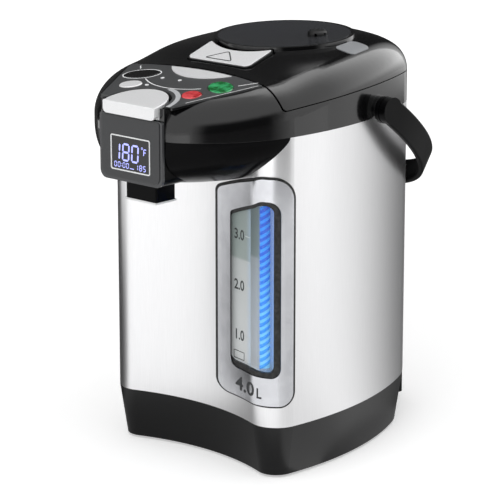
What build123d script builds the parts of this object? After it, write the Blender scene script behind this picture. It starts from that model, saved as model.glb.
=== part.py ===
from build123d import *
import os
from copy import copy
from math import cos, radians, sin, sqrt, tan

# Electric thermo pot: an insulated steel vessel on a black base, with an overhanging
# pump head, a hinged lid, a carrying bail and a level window round the front corner.
# Millimetres, +Z up. The front (spout) faces -Y. Everything is drawn about the vessel
# axis and moved at the end, so that the origin is under the middle of the whole pot.

# ---------------------------------------------------------------- driving dimensions
# plan of the body: hollow front, tight front corners, bulged flanks, round back
TANK_R = 80.0              # the vessel's radius drives the body round it
BODY_WIDTH = 2 * (TANK_R + 16.0)
FRONT_TO_AXIS = TANK_R + 24.5   # hollow front's middle to the vessel axis
HOLLOW_ANGLE = 20.5        # heading lost along half of the hollow front, degrees
CORNER_R = 21.0
FLANK_R = 281.0
FLANK_START = 81.3         # heading where the corner meets the flank
FLANK_END = 114.4          # heading where the flank meets the round back
# plan of the head: the flanks run on into a blunt nose
NOSE_REACH = 180.0         # vessel axis to the nose's flat front
NOSE_HEADING = 26.9        # heading of the nose's side where it meets the flat front
# heights
FOOT_HEIGHT = 2.0
BASE_TOP = 43.0
STEEL_TOP = 273.5
SEAM_TOP = 299.2           # highest point of the lid's parting line
SEAM_R = 1420.0            # the parting line is a shallow arc seen from the side
SEAM_CREST = 20.0          # place of its highest point, behind the axis
# walls and clearances
SHELL_WALL = 1.0
WALL = 2.6
FIT = 0.3                  # clearance between pieces that don't move
LID_GAP = 0.8
CUT_GAP = 1.8              # upright gap between the lid's front and the nose
CUT_CORNER_R = 4.0
# base
BASE_INSET = 6.0           # how far the base tapers in at the floor
PLATE_THICK = 3.0
FOOT_R = 9.0
FRONT_FOOT = (60.0, -74.0)
BACK_FOOT = (38.0, 70.0)
BASE_SCREW_R = 3.5
BASE_SCREW_X = 30.0
BASE_SCREW_Y = 62.0
BASE_LEDGE = 1.5
SCREW_HEAD = 1.4
SCREW_SINK = 1.6
SCREW_SHANK_R = 1.75
SCREW_LENGTH = 9.0
VENT_COUNT = 7
VENT_PITCH = 7.0
VENT_WIDTH = 3.0
VENT_LENGTH = 34.0
SOCKET_HALF = 15.0
SOCKET_Z = 19.5
SOCKET_RISE = 8.5
SOCKET_DEPTH = 12.0
CORE_LONG = 16.0
INLET_PIN = 9.0
PIN_PITCH = 14.0
# rounding of the head
SHOULDER_R = 25.0          # top edge all round
NOSE_CORNER_R = 28.0       # upright corners beside the flat front
# control deck on the nose
DECK_TILT = 9.7
DECK_Y = -108.0
DECK_Z = 311.1
DECK_THICK = 1.2
DECK_FRONT = NOSE_REACH - 9.6    # where the film's half width is taken
DECK_FRONT_HALF = 40.6
DECK_BACK = 110.8
DECK_BACK_HALF = 69.8
DECK_FRONT_Y = NOSE_REACH - 4.0
DECK_LEDGE = 0.4           # land under the film, beyond its edge
DECK_LEDGE_DEEP = 1.6
LENS_R = 41.5
LENS_Y = -77.5
BOARD_Y = -126.0
BOARD_THICK = 1.6
STAND_X = 12.0
STAND_Y = (-113.0, -139.0)
BOARD_WIDE = 104.0
BOARD_LONG = 36.0
LAMPS = [(-18.5, -145.5), (-18.5, -128.0), (-1.0, -127.0)]
# front cut between the nose and the lid
CUT_R = 219.0
CUT_Y = -98.0
CUT_SLANT = 0.43           # mm back for each mm down
# vessel
TANK_WALL = 0.8
TANK_FLOOR = 62.0
TANK_RIM = 4.0
TANK_CORNER = 12.0
GASKET_RING = 2.0
HEATER_R = TANK_R - 22.0
SHIELD_R = TANK_R + 5.4
PUMP_Y = 66.0
PUMP_R = 16.0
MOTOR_R = 13.0
MOTOR_BOTTOM = 12.0
SUCTION_LENGTH = 10.0
PIPE_R = 4.0
PIPE_BORE_R = 3.0
RISER_Y = 92.5
MOUTH_R = TANK_R - 3.4
# lid insert
PLUG_R = MOUTH_R - 2.6
PLUG_BOTTOM = 280.0
PLUG_TOP = 304.6
SEAL_R = MOUTH_R - 1.2
SEAL_DEEP = 2.0
SEAL_LOW = 288.0
SEAL_HIGH = 291.5
HINGE_Y = 104.0
HINGE_Z = 300.5
HINGE_PIN_R = 2.0
HINGE_RUN = 0.08           # running clearance of a pin
KNUCKLE_R = 5.0
KNUCKLE_WIDTH = 14.0
# steam dish in the lid
DISH_R = 53.7
DISH_Y = -7.1
DISH_Z = 331.0
DISH_TILT = 2.1
DISH_DEPTH = 6.5
DISH_WALL = 2.0
DISH_LIP = 2.0
VENT_X = 11.0
VENT_Y = 21.0
VENT_R = 8.0
VENT_HIGH = 6.0
# lid release lever
LEVER_WIDTH = 67.0
LEVER_FRONT_Y = -87.4
LEVER_FRONT_Z = 318.3
LEVER_LENGTH = 31.0
LEVER_TILT = 18.0
LEVER_THICK = 4.6
LEVER_CAP = 0.8            # silver cap on the lever
LEVER_BORDER = 1.2         # lever's dark edge round the cap
LEVER_GAP = 1.2
LEVER_TAIL = 3.0           # tongue of the lever behind its silver cap
LEVER_BACK_GAP = 2.3       # to the dish, where the lever's edge tips back
LEVER_CORNER_R = 6.0
LEVER_PIVOT = 24.0         # pin behind the lever's front edge
LEVER_PIVOT_DEEP = 5.0     # pin below the lever's top
LEVER_PIN_R = 1.0
LEVER_BARREL_R = 2.2
LEVER_CHEEK = 4.0          # side walls of the recess, which hold the pin
LEVER_PIN_BITE = 3.0
LEVER_SWING = 20.0         # degrees the lever is lifted
LEVER_BEHIND = LEVER_LENGTH + LEVER_TAIL - LEVER_PIVOT
LEVER_ROOM = (LEVER_PIVOT_DEEP + LEVER_BEHIND * sin(radians(LEVER_SWING))
              - (LEVER_PIVOT_DEEP - LEVER_THICK) * cos(radians(LEVER_SWING)) + 0.4)
# latch that the lever draws back
LATCH_X = 26.0
LATCH_WIDTH = 9.0
LATCH_THICK = 3.0
LATCH_Z = 299.5
LATCH_FACE_Y = -93.5       # lid's front at the latch
LATCH_BACK_Y = -82.0
LATCH_BITE = 3.6
LATCH_TRAVEL = 3.4
# dispense key
KEY_R = 27.5
KEY_CENTRE_Y = -NOSE_REACH
KEY_BOTTOM = 289.5
KEY_FRONT = 299.2          # top of its front band
KEY_TILT = 11.5
KEY_TRAVEL = 3.0
KEY_LIP = 1.4
KEY_SET = 0.5             # key's body behind the display bezel
KEY_GAP = 1.3
KEY_CORNER_R = 4.0
# buttons on the deck: name, x, y, half length, half width, turn of the long axis
BUTTON_RISE = 0.6
BUTTON_DEPTH = 5.0
BUTTON_TRAVEL = 1.0
BUTTON_GAP = 0.35
# display
PANEL_FACE = NOSE_REACH + 3.0
PANEL_HALF = 30.7
PANEL_TOP = 288.0
PANEL_BOTTOM = 240.3
PANEL_CORNER = 5.5
PANEL_THICK = 1.2
BEZEL_MARGIN = 2.6
BEZEL_TOP = 0.8            # bezel above the panel
LCD_HALF = 21.0
LCD_TOP = 273.5
LCD_BOTTOM = 246.0
LCD_RIM = 1.0
# bowl under the nose
BOWL_DEPTH = 45.0
BOWL_CENTRE_Y = -105.0
BOWL_END_Y = -100.0         # where the bowl runs out on the flanks
# spout
SPOUT_HALF = 16.3
SPOUT_FRONT = NOSE_REACH - 8.0
SPOUT_BACK = NOSE_REACH - 29.3
SPOUT_BOTTOM = 222.4
SPOUT_BORE_R = 5.0
RIM_HIGH = 1.4
SNOUT_BOTTOM = 238.0
# level window, drawn on a plane that faces the front corner
WINDOW_AZIMUTH = 45.0
WINDOW_LEFT = -61.9
WINDOW_RIGHT = -5.2
WINDOW_BOTTOM = 61.0
WINDOW_TOP_LEFT = 225.0
WINDOW_TOP = 241.5
WINDOW_CREST = -31.0
FRAME_PROUD = 2.2
FRAME_SEAT = 0.1
SEAL_WIDE = 1.6            # black seal round the frame
SEAL_PROUD = 0.9
GASKET_PROUD = 1.0
PANE_INSET = 0.3
PANE_THICK = 1.8
GAUGE_DEPTH = 16.5
SCALE_RIGHT = -37.5
BOOT_HEIGHT = 8.0
GLASS_LEFT = -52.6
GLASS_RIGHT = -15.0
GLASS_BOTTOM = 83.5
GLASS_TOP_LEFT = 209.0
GLASS_TOP = 224.0
TUBE_R = 5.8
TUBE_BORE_R = 4.4
TUBE_SWING = -92.5
TUBE_BOTTOM = 72.0
TUBE_TOP = 232.0
# handle
PIVOT_Y = 3.0
PIVOT_Z = 280.0
HUB_R = 10.8
HUB_WALL_X = 87.0          # where the fixed boss starts, inside the collar's wall
BOSS_X = 95.0
BAIL_X = 103.0
BAIL_THICK = 5.0
BAIL_WIDTH = 2 * HUB_R
BAIL_ARM = 12.0            # straight part of each arm
BAIL_BOW = 128.0           # length of the oval bow
BAIL_DROOP = 36.0          # degrees below level at rest
HUB_GROOVE_X = 99.2
HUB_GROOVE = 0.9
PIN_R = 3.5
PIN_RUN = 0.08
PIN_SEAT = 0.03
HUB_GAP = 0.4
# power inlet
INLET_HALF = 24.0
INLET_REACH = 121.0
INLET_TOP = 38.0
INLET_BOTTOM = 5.0

parts = {}


def keep(name, solid):
    """Store one named piece."""
    parts[name] = solid


# ---------------------------------------------------------------- plan outlines
def left_turn(point, heading, radius, turn):
    """Arc that turns left from a point: the edge, its end and its new heading."""
    centre = (point[0] - radius * sin(radians(heading)), point[1] + radius * cos(radians(heading)))
    edge = CenterArc(centre, radius, heading - 90, turn)
    last = radians(heading - 90 + turn)
    return edge, (centre[0] + radius * cos(last), centre[1] + radius * sin(last)), heading + turn


def corner_end():
    """Where the front corner ends and the flank starts."""
    swing = CORNER_R * (sin(radians(FLANK_START)) + sin(radians(HOLLOW_ANGLE)))
    hollow_end_x = BODY_WIDTH / 2 - swing - FLANK_R * (1 - sin(radians(FLANK_START)))
    hollow_r = hollow_end_x / sin(radians(HOLLOW_ANGLE))
    hollow_end_y = -FRONT_TO_AXIS - hollow_r * (1 - cos(radians(HOLLOW_ANGLE)))
    corner = left_turn((hollow_end_x, hollow_end_y), -HOLLOW_ANGLE, CORNER_R, FLANK_START + HOLLOW_ANGLE)
    return hollow_r, corner[0], corner[1]


def back_edges(start):
    """Flank and half of the round back, from the flank's start."""
    flank, point, heading = left_turn(start, FLANK_START, FLANK_R, FLANK_END - FLANK_START)
    back_r = point[0] / sin(radians(180 - FLANK_END))
    back = left_turn(point, heading, back_r, 180 - FLANK_END)[0]
    return [flank, back]


def both_sides(edges):
    """Face inside a half outline and its mirror image."""
    return make_face(edges + [mirror(edge, about=Plane.YZ) for edge in edges])


def body_plan():
    hollow_r, corner, start = corner_end()
    front = CenterArc((0, -FRONT_TO_AXIS - hollow_r), hollow_r, 90 - HOLLOW_ANGLE, HOLLOW_ANGLE)
    return both_sides([front, corner] + back_edges(start))


def head_plan():
    start = corner_end()[2]
    first = radians(NOSE_HEADING)
    last = radians(FLANK_START)
    nose_r = (start[1] + NOSE_REACH) / (cos(first) - cos(last))
    centre = (start[0] - nose_r * sin(last), start[1] + nose_r * cos(last))
    front = Line((0, -NOSE_REACH), (centre[0] + nose_r * sin(first), -NOSE_REACH))
    nose = CenterArc(centre, nose_r, NOSE_HEADING - 90, FLANK_START - NOSE_HEADING)
    return both_sides([front, nose] + back_edges(start))


BODY = body_plan()
HEAD = head_plan()


def slab(face, bottom, top):
    """Upright prism on a plan face between two heights."""
    return extrude(Pos(0, 0, bottom) * face, top - bottom)


def grown(face, amount):
    return offset(face, amount) if amount else face


# ---------------------------------------------------------------- envelope of the head
def top_profile(stations, drop, x):
    """Side view of the head's top as a closed face in the plane at x."""
    low = STEEL_TOP - 20
    points = [(x, y, z - drop) for y, z in stations]
    top = Spline(*points)
    sides = Polyline(points[-1], (x, points[-1][1], low), (x, points[0][1], low), points[0])
    return Face(Wire([top] + sides.edges()))


# crown of the head: place, height in the middle, height at the sides, share of the fall at the quarters
CROWN = [(-205, 296.0, 293.0, 0.20), (-150, 305.4, 302.0, 0.20), (-108, 312.6, 308.5, 0.20),
         (-92, 315.6, 309.0, 0.20), (-60, 325.0, 312.5, 0.20), (-30, 329.0, 315.5, 0.20),
         (0, 331.0, 316.0, 0.20), (20, 331.6, 314.5, 0.20), (45, 330.8, 309.0, 0.23),
         (60, 328.6, 304.0, 0.27), (75, 325.0, 294.0, 0.31), (88, 321.2, 286.0, 0.33),
         (104, 315.8, 277.0, 0.33), (115, 311.0, 270.0, 0.33)]
CROWN_HALF = 100.0
CROWN_QUARTER = 56.0


def head_top(drop):
    """Everything below the crowned top of the head."""
    sides = [(y, side) for y, middle, side, share in CROWN]
    quarters = [(y, middle - share * (middle - side)) for y, middle, side, share in CROWN]
    middles = [(y, middle) for y, middle, side, share in CROWN]
    sections = [top_profile(sides, drop, -CROWN_HALF), top_profile(quarters, drop, -CROWN_QUARTER),
                top_profile(middles, drop, 0), top_profile(quarters, drop, CROWN_QUARTER),
                top_profile(sides, drop, CROWN_HALF)]
    return loft(sections)


def head_block(inset):
    """Head's outer shape, or its inner one at a wall's thickness inside."""
    plan = grown(HEAD, -inset)
    block = slab(plan, STEEL_TOP - (2 if inset else 0), 345)
    nose_corners = block.edges().filter_by(Axis.Z).group_by(Axis.Y)[0]
    block = fillet(nose_corners, NOSE_CORNER_R - inset) & head_top(inset)
    top_faces = block.faces().filter_by(lambda face: face.normal_at().Z > 0.5)
    return fillet(top_faces.edges(), SHOULDER_R - inset)


def front_cut(clear):
    """Slanted round cutter: the space in front of the lid, grown by a clearance."""
    top = 345.0
    rise = top - DECK_Z
    centre_y = CUT_Y - CUT_R - CUT_SLANT * rise
    disc = Pos(0, centre_y, top) * Circle(CUT_R + clear)
    length = top - STEEL_TOP + 20
    slant = Vector(0, CUT_SLANT, -1)
    return extrude(disc, length * slant.length, dir=slant.normalized())


def above_seam(lift):
    """Everything above the lid's parting line, raised by a clearance."""
    wide = BODY_WIDTH / 2 + 20
    centre_z = SEAM_TOP - SEAM_R
    front, back = -NOSE_REACH - 20, FRONT_TO_AXIS + 30

    def seam(y):
        return centre_z + sqrt(SEAM_R ** 2 - (y - SEAM_CREST) ** 2) + lift

    arc = ThreePointArc((-wide, front, seam(front)), (-wide, SEAM_CREST, seam(SEAM_CREST)),
                        (-wide, back, seam(back)))
    rest = Polyline((-wide, back, seam(back)), (-wide, back, 360), (-wide, front, 360),
                    (-wide, front, seam(front)))
    return extrude(Face(Wire([arc] + rest.edges())), 2 * wide, dir=(1, 0, 0))


def lid_zone(clear, cut_clear):
    """Space of the lid, with its lower front corner rounded."""
    zone = above_seam(clear) - front_cut(cut_clear)
    corner = zone.edges().filter_by(lambda edge: edge.center().Z < SEAM_TOP + 5 and abs(edge.center().X) < 1
                                    and CUT_Y - 5 < edge.center().Y < 0)
    return fillet(corner, CUT_CORNER_R)


DECK = Plane(origin=(0, DECK_Y, DECK_Z), x_dir=(1, 0, 0),
             z_dir=(0, -sin(radians(DECK_TILT)), cos(radians(DECK_TILT))))


def on_deck(x, y, lift=0.0):
    """Frame on the deck over a plan position."""
    along = (y - DECK_Y) / cos(radians(DECK_TILT))
    return DECK * Pos(x, along, lift)


def above_deck(lift):
    return on_deck(0, DECK_Y, lift) * Pos(0, -40, 40) * Box(260, 200, 80)


OUTER = head_block(0)
INNER = head_block(WALL)
LID_OUTER = OUTER & lid_zone(LID_GAP, CUT_GAP)
COLLAR_OUTER = OUTER - lid_zone(0, 0)


# ---------------------------------------------------------------- base
def base_pieces():
    outside = loft([Pos(0, 0, BASE_TOP) * BODY, Pos(0, 0, FOOT_HEIGHT) * grown(BODY, -BASE_INSET)], ruled=True)
    inside = loft([Pos(0, 0, BASE_TOP + 1) * grown(BODY, -WALL - BASE_LEDGE),
                   Pos(0, 0, FOOT_HEIGHT - 1) * grown(BODY, -BASE_INSET - WALL)], ruled=True)
    housing = outside - inside
    housing -= Pos(0, FRONT_TO_AXIS, SOCKET_Z) * Box(2 * SOCKET_HALF, 60, 2 * SOCKET_RISE)
    plate_plan = grown(BODY, -BASE_INSET - WALL - FIT - 1)
    plate = slab(plate_plan, FOOT_HEIGHT, FOOT_HEIGHT + PLATE_THICK)
    feet = []
    screws = []
    for side in (-1, 1):
        for x, y in (FRONT_FOOT, BACK_FOOT):
            foot = Pos(side * x, y, FOOT_HEIGHT / 2) * Cylinder(FOOT_R, FOOT_HEIGHT)
            feet.append(chamfer(foot.edges().sort_by(Axis.Z)[0], FOOT_HEIGHT / 3))
    for x in (-1, 1):
        for y in (-1, 1):
            spot = Pos(x * BASE_SCREW_X, y * BASE_SCREW_Y, FOOT_HEIGHT)
            plate -= spot * Cylinder(BASE_SCREW_R + FIT, 2 * SCREW_SINK)
            plate -= spot * Cylinder(SCREW_SHANK_R + FIT, 3 * PLATE_THICK)
            head = spot * Pos(0, 0, SCREW_SINK - SCREW_HEAD / 2) * Cylinder(BASE_SCREW_R, SCREW_HEAD)
            shank = spot * Pos(0, 0, SCREW_SINK + SCREW_LENGTH / 2 - 0.5) * Cylinder(SCREW_SHANK_R, SCREW_LENGTH)
            screws.append(head + shank)
    for column in range(VENT_COUNT):
        x = (column - (VENT_COUNT - 1) / 2) * VENT_PITCH
        plate -= Pos(x, 0, FOOT_HEIGHT + PLATE_THICK / 2) * Box(VENT_WIDTH, VENT_LENGTH, PLATE_THICK)
    keep("base_housing", housing)
    keep("bottom_plate", plate)
    keep("rubber_feet", Compound(children=feet))
    keep("base_screws", Compound(children=screws))


def inlet_pieces():
    """Mains inlet: a hooded housing low on the back, with its socket and pins."""
    side = [(FRONT_TO_AXIS - 14, INLET_BOTTOM), (INLET_REACH, INLET_BOTTOM), (INLET_REACH, INLET_TOP - 13),
            (FRONT_TO_AXIS - 2, INLET_TOP), (FRONT_TO_AXIS - 14, INLET_TOP)]
    profile = make_face(Polyline(*[(-INLET_HALF, y, z) for y, z in side], close=True))
    hood = extrude(profile, 2 * INLET_HALF, dir=(1, 0, 0))
    opening = Pos(0, INLET_REACH - 20, SOCKET_Z) * Box(2 * SOCKET_HALF, 80, 2 * SOCKET_RISE)
    hood = hood - opening - slab(grown(BODY, FIT), 0, BASE_TOP + 10)
    core_front = INLET_REACH - SOCKET_DEPTH
    core = Pos(0, core_front - CORE_LONG / 2, SOCKET_Z) * Box(
        2 * (SOCKET_HALF - FIT), CORE_LONG, 2 * (SOCKET_RISE - FIT))
    pins = []
    for x in (-PIN_PITCH / 2, PIN_PITCH / 2):
        pins.append(Pos(x, core_front + INLET_PIN / 2, SOCKET_Z) * Rot(90, 0, 0) * Cylinder(2.0, INLET_PIN))
    keep("inlet_hood", hood)
    keep("inlet_socket", core)
    keep("inlet_pins", Compound(children=pins))


# ---------------------------------------------------------------- steel shell and level window
WINDOW = Plane(origin=(0, 0, 0), x_dir=(cos(radians(WINDOW_AZIMUTH)), sin(radians(WINDOW_AZIMUTH)), 0),
               z_dir=(sin(radians(WINDOW_AZIMUTH)), -cos(radians(WINDOW_AZIMUTH)), 0))


def window_face(left, right, bottom, top_left, top, crest, radii):
    points = [(left, bottom), (right, bottom), (right, top), (crest, top), (left, top_left)]
    return make_face(FilletPolyline(*points, radius=radii, close=True))


FRAME_FACE = window_face(WINDOW_LEFT, WINDOW_RIGHT, WINDOW_BOTTOM, WINDOW_TOP_LEFT, WINDOW_TOP, WINDOW_CREST,
                         [9, 11, 16, 12, 6])
GLASS_FACE = window_face(GLASS_LEFT, GLASS_RIGHT, GLASS_BOTTOM, GLASS_TOP_LEFT, GLASS_TOP, WINDOW_CREST,
                         [6, 8, 10, 8, 4])
PANE_FACE = window_face(GLASS_LEFT + 1.0, GLASS_RIGHT - 5.5, GLASS_BOTTOM + 4, GLASS_TOP_LEFT - 3,
                        GLASS_TOP - 3.5, WINDOW_CREST, [5, 5, 6, 6, 3])


def prism(face):
    """A window face pushed outwards through the front corner."""
    return extrude(WINDOW * face, 220)


def band(outer, inner, bottom=GLASS_BOTTOM - 30, top=STEEL_TOP):
    """Ring that follows the body's plan between two offsets."""
    return slab(grown(BODY, outer), bottom, top) - slab(grown(BODY, inner), bottom, top)


def tube_centre():
    """The sight tube stands just inside the front corner, behind the pane."""
    hollow_r, corner, start = corner_end()
    middle = (start[0] - CORNER_R * sin(radians(FLANK_START)), start[1] + CORNER_R * cos(radians(FLANK_START)))
    reach = CORNER_R - PANE_INSET - PANE_THICK - FIT - TUBE_R
    return (middle[0] + reach * cos(radians(TUBE_SWING)), middle[1] + reach * sin(radians(TUBE_SWING)))


def shell_pieces():
    shell = band(0, -SHELL_WALL, BASE_TOP, STEEL_TOP)
    frame = (band(FRAME_PROUD, FRAME_SEAT) & prism(FRAME_FACE)) - prism(GLASS_FACE)
    seal = (band(SEAL_PROUD, FRAME_SEAT) & prism(offset(FRAME_FACE, SEAL_WIDE))) - prism(FRAME_FACE)
    gasket = (band(GASKET_PROUD, -PANE_INSET - PANE_THICK) & prism(offset(GLASS_FACE, -FIT))) - prism(PANE_FACE)
    pane = band(-PANE_INSET, -PANE_INSET - PANE_THICK) & prism(offset(PANE_FACE, -FIT / 2))
    deep = grown(BODY, -GAUGE_DEPTH)
    hollow = grown(BODY, -GAUGE_DEPTH + WALL / 2)
    tray = slab(grown(BODY, -SHELL_WALL - FIT), GLASS_BOTTOM - 30, STEEL_TOP) & prism(offset(GLASS_FACE, 4))
    tray -= slab(deep, 0, STEEL_TOP)
    room = slab(grown(BODY, 1), 0, STEEL_TOP) - slab(hollow, 0, STEEL_TOP)
    tray -= room & prism(offset(GLASS_FACE, 1.5))
    scale = band(-PANE_INSET - PANE_THICK - FIT, -PANE_INSET - PANE_THICK - FIT - 1) & prism(offset(PANE_FACE, -FIT))
    scale &= WINDOW * Pos(SCALE_RIGHT - 50, 0, 110) * Box(100, 500, 300)
    x, y = tube_centre()
    height = TUBE_TOP - TUBE_BOTTOM
    tube = Pos(x, y, TUBE_BOTTOM + height / 2) * (Cylinder(TUBE_R, height) - Cylinder(TUBE_BORE_R, height))
    boots = []
    for z in (TUBE_BOTTOM - BOOT_HEIGHT / 2, TUBE_TOP + BOOT_HEIGHT / 2):
        boots.append(Pos(x, y, z) * Cylinder(TUBE_R + 0.6, BOOT_HEIGHT))
    tray -= Pos(x, y, TUBE_BOTTOM + height / 2) * Cylinder(TUBE_R + 0.6 + FIT, height + 40)
    keep("outer_shell", shell - prism(offset(GLASS_FACE, FIT)))
    keep("window_frame", frame)
    keep("frame_seal", seal)
    keep("window_gasket", gasket)
    keep("window_pane", pane)
    keep("gauge_tray", tray)
    keep("scale_plate", scale)
    keep("sight_tube", tube)
    keep("tube_boots", Compound(children=boots))


# ---------------------------------------------------------------- vessel, heater and pump
def ring(outer, inner, bottom, top):
    height = top - bottom
    return Pos(0, 0, bottom + height / 2) * (Cylinder(outer, height) - Cylinder(inner, height))


def vessel_pieces():
    rim_z = STEEL_TOP - GASKET_RING
    tank = Pos(0, 0, TANK_FLOOR) * Cylinder(TANK_R, rim_z - TANK_FLOOR, align=(Align.CENTER, Align.CENTER, Align.MIN))
    tank = fillet(tank.edges().sort_by(Axis.Z)[0], TANK_CORNER)
    room = Pos(0, 0, TANK_FLOOR + TANK_WALL) * Cylinder(
        TANK_R - TANK_WALL, rim_z - TANK_FLOOR, align=(Align.CENTER, Align.CENTER, Align.MIN))
    room = fillet(room.edges().sort_by(Axis.Z)[0], TANK_CORNER - TANK_WALL)
    tank = tank - room + ring(TANK_R + TANK_RIM, TANK_R - TANK_WALL / 2, rim_z - TANK_WALL, rim_z)
    tank -= Pos(0, -PUMP_Y, TANK_FLOOR) * Cylinder(PIPE_R - 1, 6)
    keep("inner_tank", tank)
    keep("mouth_gasket", ring(TANK_R + TANK_RIM, MOUTH_R, rim_z, STEEL_TOP))
    keep("heater_band", ring(TANK_R + 3.5, TANK_R + 0.2, TANK_FLOOR + 12, TANK_FLOOR + 37))
    keep("heater_plate", ring(HEATER_R, 6, TANK_FLOOR - 4.5, TANK_FLOOR))
    thermostat = Pos(28, 0, TANK_FLOOR - 8.5) * Cylinder(8, 8) + Pos(28, 0, TANK_FLOOR - 14.5) * Box(22, 6, 4)
    keep("thermostat", thermostat)
    keep("heat_shield", ring(SHIELD_R, SHIELD_R - 0.6, BASE_TOP + 20, rim_z - 20))


def pipe(points, bend, radius=None, bore=None):
    """Round pipe along a route of straight runs with equal bends."""
    radius = radius or PIPE_R
    bore = bore or PIPE_BORE_R
    route = FilletPolyline(*points, radius=bend)
    start = Plane(origin=route @ 0, z_dir=route % 0)
    solid = sweep(start * (Circle(radius) - Circle(bore)), path=route)
    return solid


def pump_pieces():
    top = TANK_FLOOR - SUCTION_LENGTH
    body = Pos(0, -PUMP_Y, top - 9) * Cylinder(PUMP_R, 18)
    outlet_z = top - 9
    body += Pos(0, -PUMP_Y - PUMP_R, outlet_z) * Rot(90, 0, 0) * Cylinder(PIPE_R + 1.2, 4)
    motor_top = top - 18
    motor_height = motor_top - MOTOR_BOTTOM
    motor = Pos(0, -PUMP_Y, MOTOR_BOTTOM + motor_height / 2) * Cylinder(MOTOR_R, motor_height)
    motor += Pos(0, -PUMP_Y, MOTOR_BOTTOM - 1.5) * Cylinder(4, 3)
    suction = Pos(0, -PUMP_Y, top + SUCTION_LENGTH / 2) * (
        Cylinder(PIPE_R, SUCTION_LENGTH) - Cylinder(PIPE_BORE_R, SUCTION_LENGTH))
    front = -PUMP_Y - PUMP_R - 2
    riser = -RISER_Y
    over = STEEL_TOP + PIPE_R + 1
    spout_y = -(SPOUT_FRONT + SPOUT_BACK) / 2
    route = [(0, front, outlet_z), (0, riser, outlet_z), (0, riser, over), (0, spout_y, over),
             (0, spout_y, SNOUT_BOTTOM + WALL)]
    x, y = tube_centre()
    low = TUBE_BOTTOM - BOOT_HEIGHT
    away = Vector(x, y + PUMP_Y).normalized() * (PUMP_R + 0.1)
    level = [(x, y, low), (x, y, outlet_z), (away.X, away.Y - PUMP_Y, outlet_z)]
    keep("pump_housing", body)
    keep("pump_motor", motor)
    keep("suction_pipe", suction)
    keep("outlet_pipe", pipe(route, 8))
    keep("level_hose", pipe(level, 8, 3.2, 2.0))
    board = Pos(0, 48, FOOT_HEIGHT + PLATE_THICK + 8) * Box(96, 60, 1.6)
    for x, y, wide, long, high in ((-30, 40, 22, 24, 18), (8, 36, 16, 20, 14), (34, 56, 18, 16, 12),
                                   (-6, 62, 12, 10, 10)):
        board += Pos(x, y, FOOT_HEIGHT + PLATE_THICK + 8.8 + high / 2) * Box(wide, long, high)
    for x in (-42, 42):
        for y in (24, 72):
            board += Pos(x, y, FOOT_HEIGHT + PLATE_THICK + 3.6) * Cylinder(3, 7.2)
    keep("power_board", board)


# ---------------------------------------------------------------- head: collar, bowl, snout, deck
def key_outline(grow):
    """Half disc of the dispense key in plan."""
    disc = Pos(0, KEY_CENTRE_Y) * Circle(KEY_R + grow)
    return disc & Pos(0, KEY_CENTRE_Y + 50) * Rectangle(200, 100 + 2 * KEY_SET)


def key_solid():
    top = 330
    body = slab(key_outline(0) & Pos(0, 50 - NOSE_REACH + KEY_SET) * Rectangle(200, 100), KEY_BOTTOM, top)
    front = PANEL_FACE + FIT + KEY_LIP
    half = KEY_R
    bridge_long = front - NOSE_REACH + KEY_SET + 1
    bridge_low = PANEL_TOP + BEZEL_TOP + KEY_TRAVEL + FIT
    bridge = Pos(0, bridge_long / 2 - front, (bridge_low + top) / 2) * Box(2 * half, bridge_long, top - bridge_low)
    lip = Pos(0, KEY_LIP / 2 - front, (KEY_BOTTOM + top) / 2) * Box(2 * half, KEY_LIP, top - KEY_BOTTOM)
    above = Pos(0, -front, KEY_FRONT) * Rot(KEY_TILT, 0, 0) * Pos(0, 0, 40) * Box(200, 200, 80)
    lip = fillet(lip.edges().filter_by(Axis.Y).group_by(Axis.Z)[0], KEY_CORNER_R)
    key = body + bridge + lip - above
    crown = key.edges().filter_by(lambda edge: edge.center().Z > KEY_FRONT - 0.1)
    return fillet(crown, 0.8)


BUTTONS = {
    "lock_button": (-42.0, -127.0, 14.4, 9.4, 32.0),
    "unlock_button": (42.0, -127.0, 14.4, 9.4, -32.0),
    "temperature_button": (-32.5, -149.0, 9.2, 7.8, 32.0),
    "timer_button": (32.5, -149.0, 9.2, 7.8, -32.0),
}


def button_solid(x, y, half_long, half_wide, turn, grow=0.0, rise=BUTTON_RISE, depth=BUTTON_DEPTH):
    """Oval plunger square to the deck, between a depth below it and its rise."""
    spot = on_deck(x, y, -depth) * Rot(0, 0, turn)
    oval = spot * Ellipse(half_long + grow, half_wide + grow)
    return extrude(oval, depth + DECK_THICK + rise, dir=DECK.z_dir)


def lying(radius, length, x, y, z):
    """Cylinder along X."""
    return Pos(x, y, z) * Rot(0, 90, 0) * Cylinder(radius, length)


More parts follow.
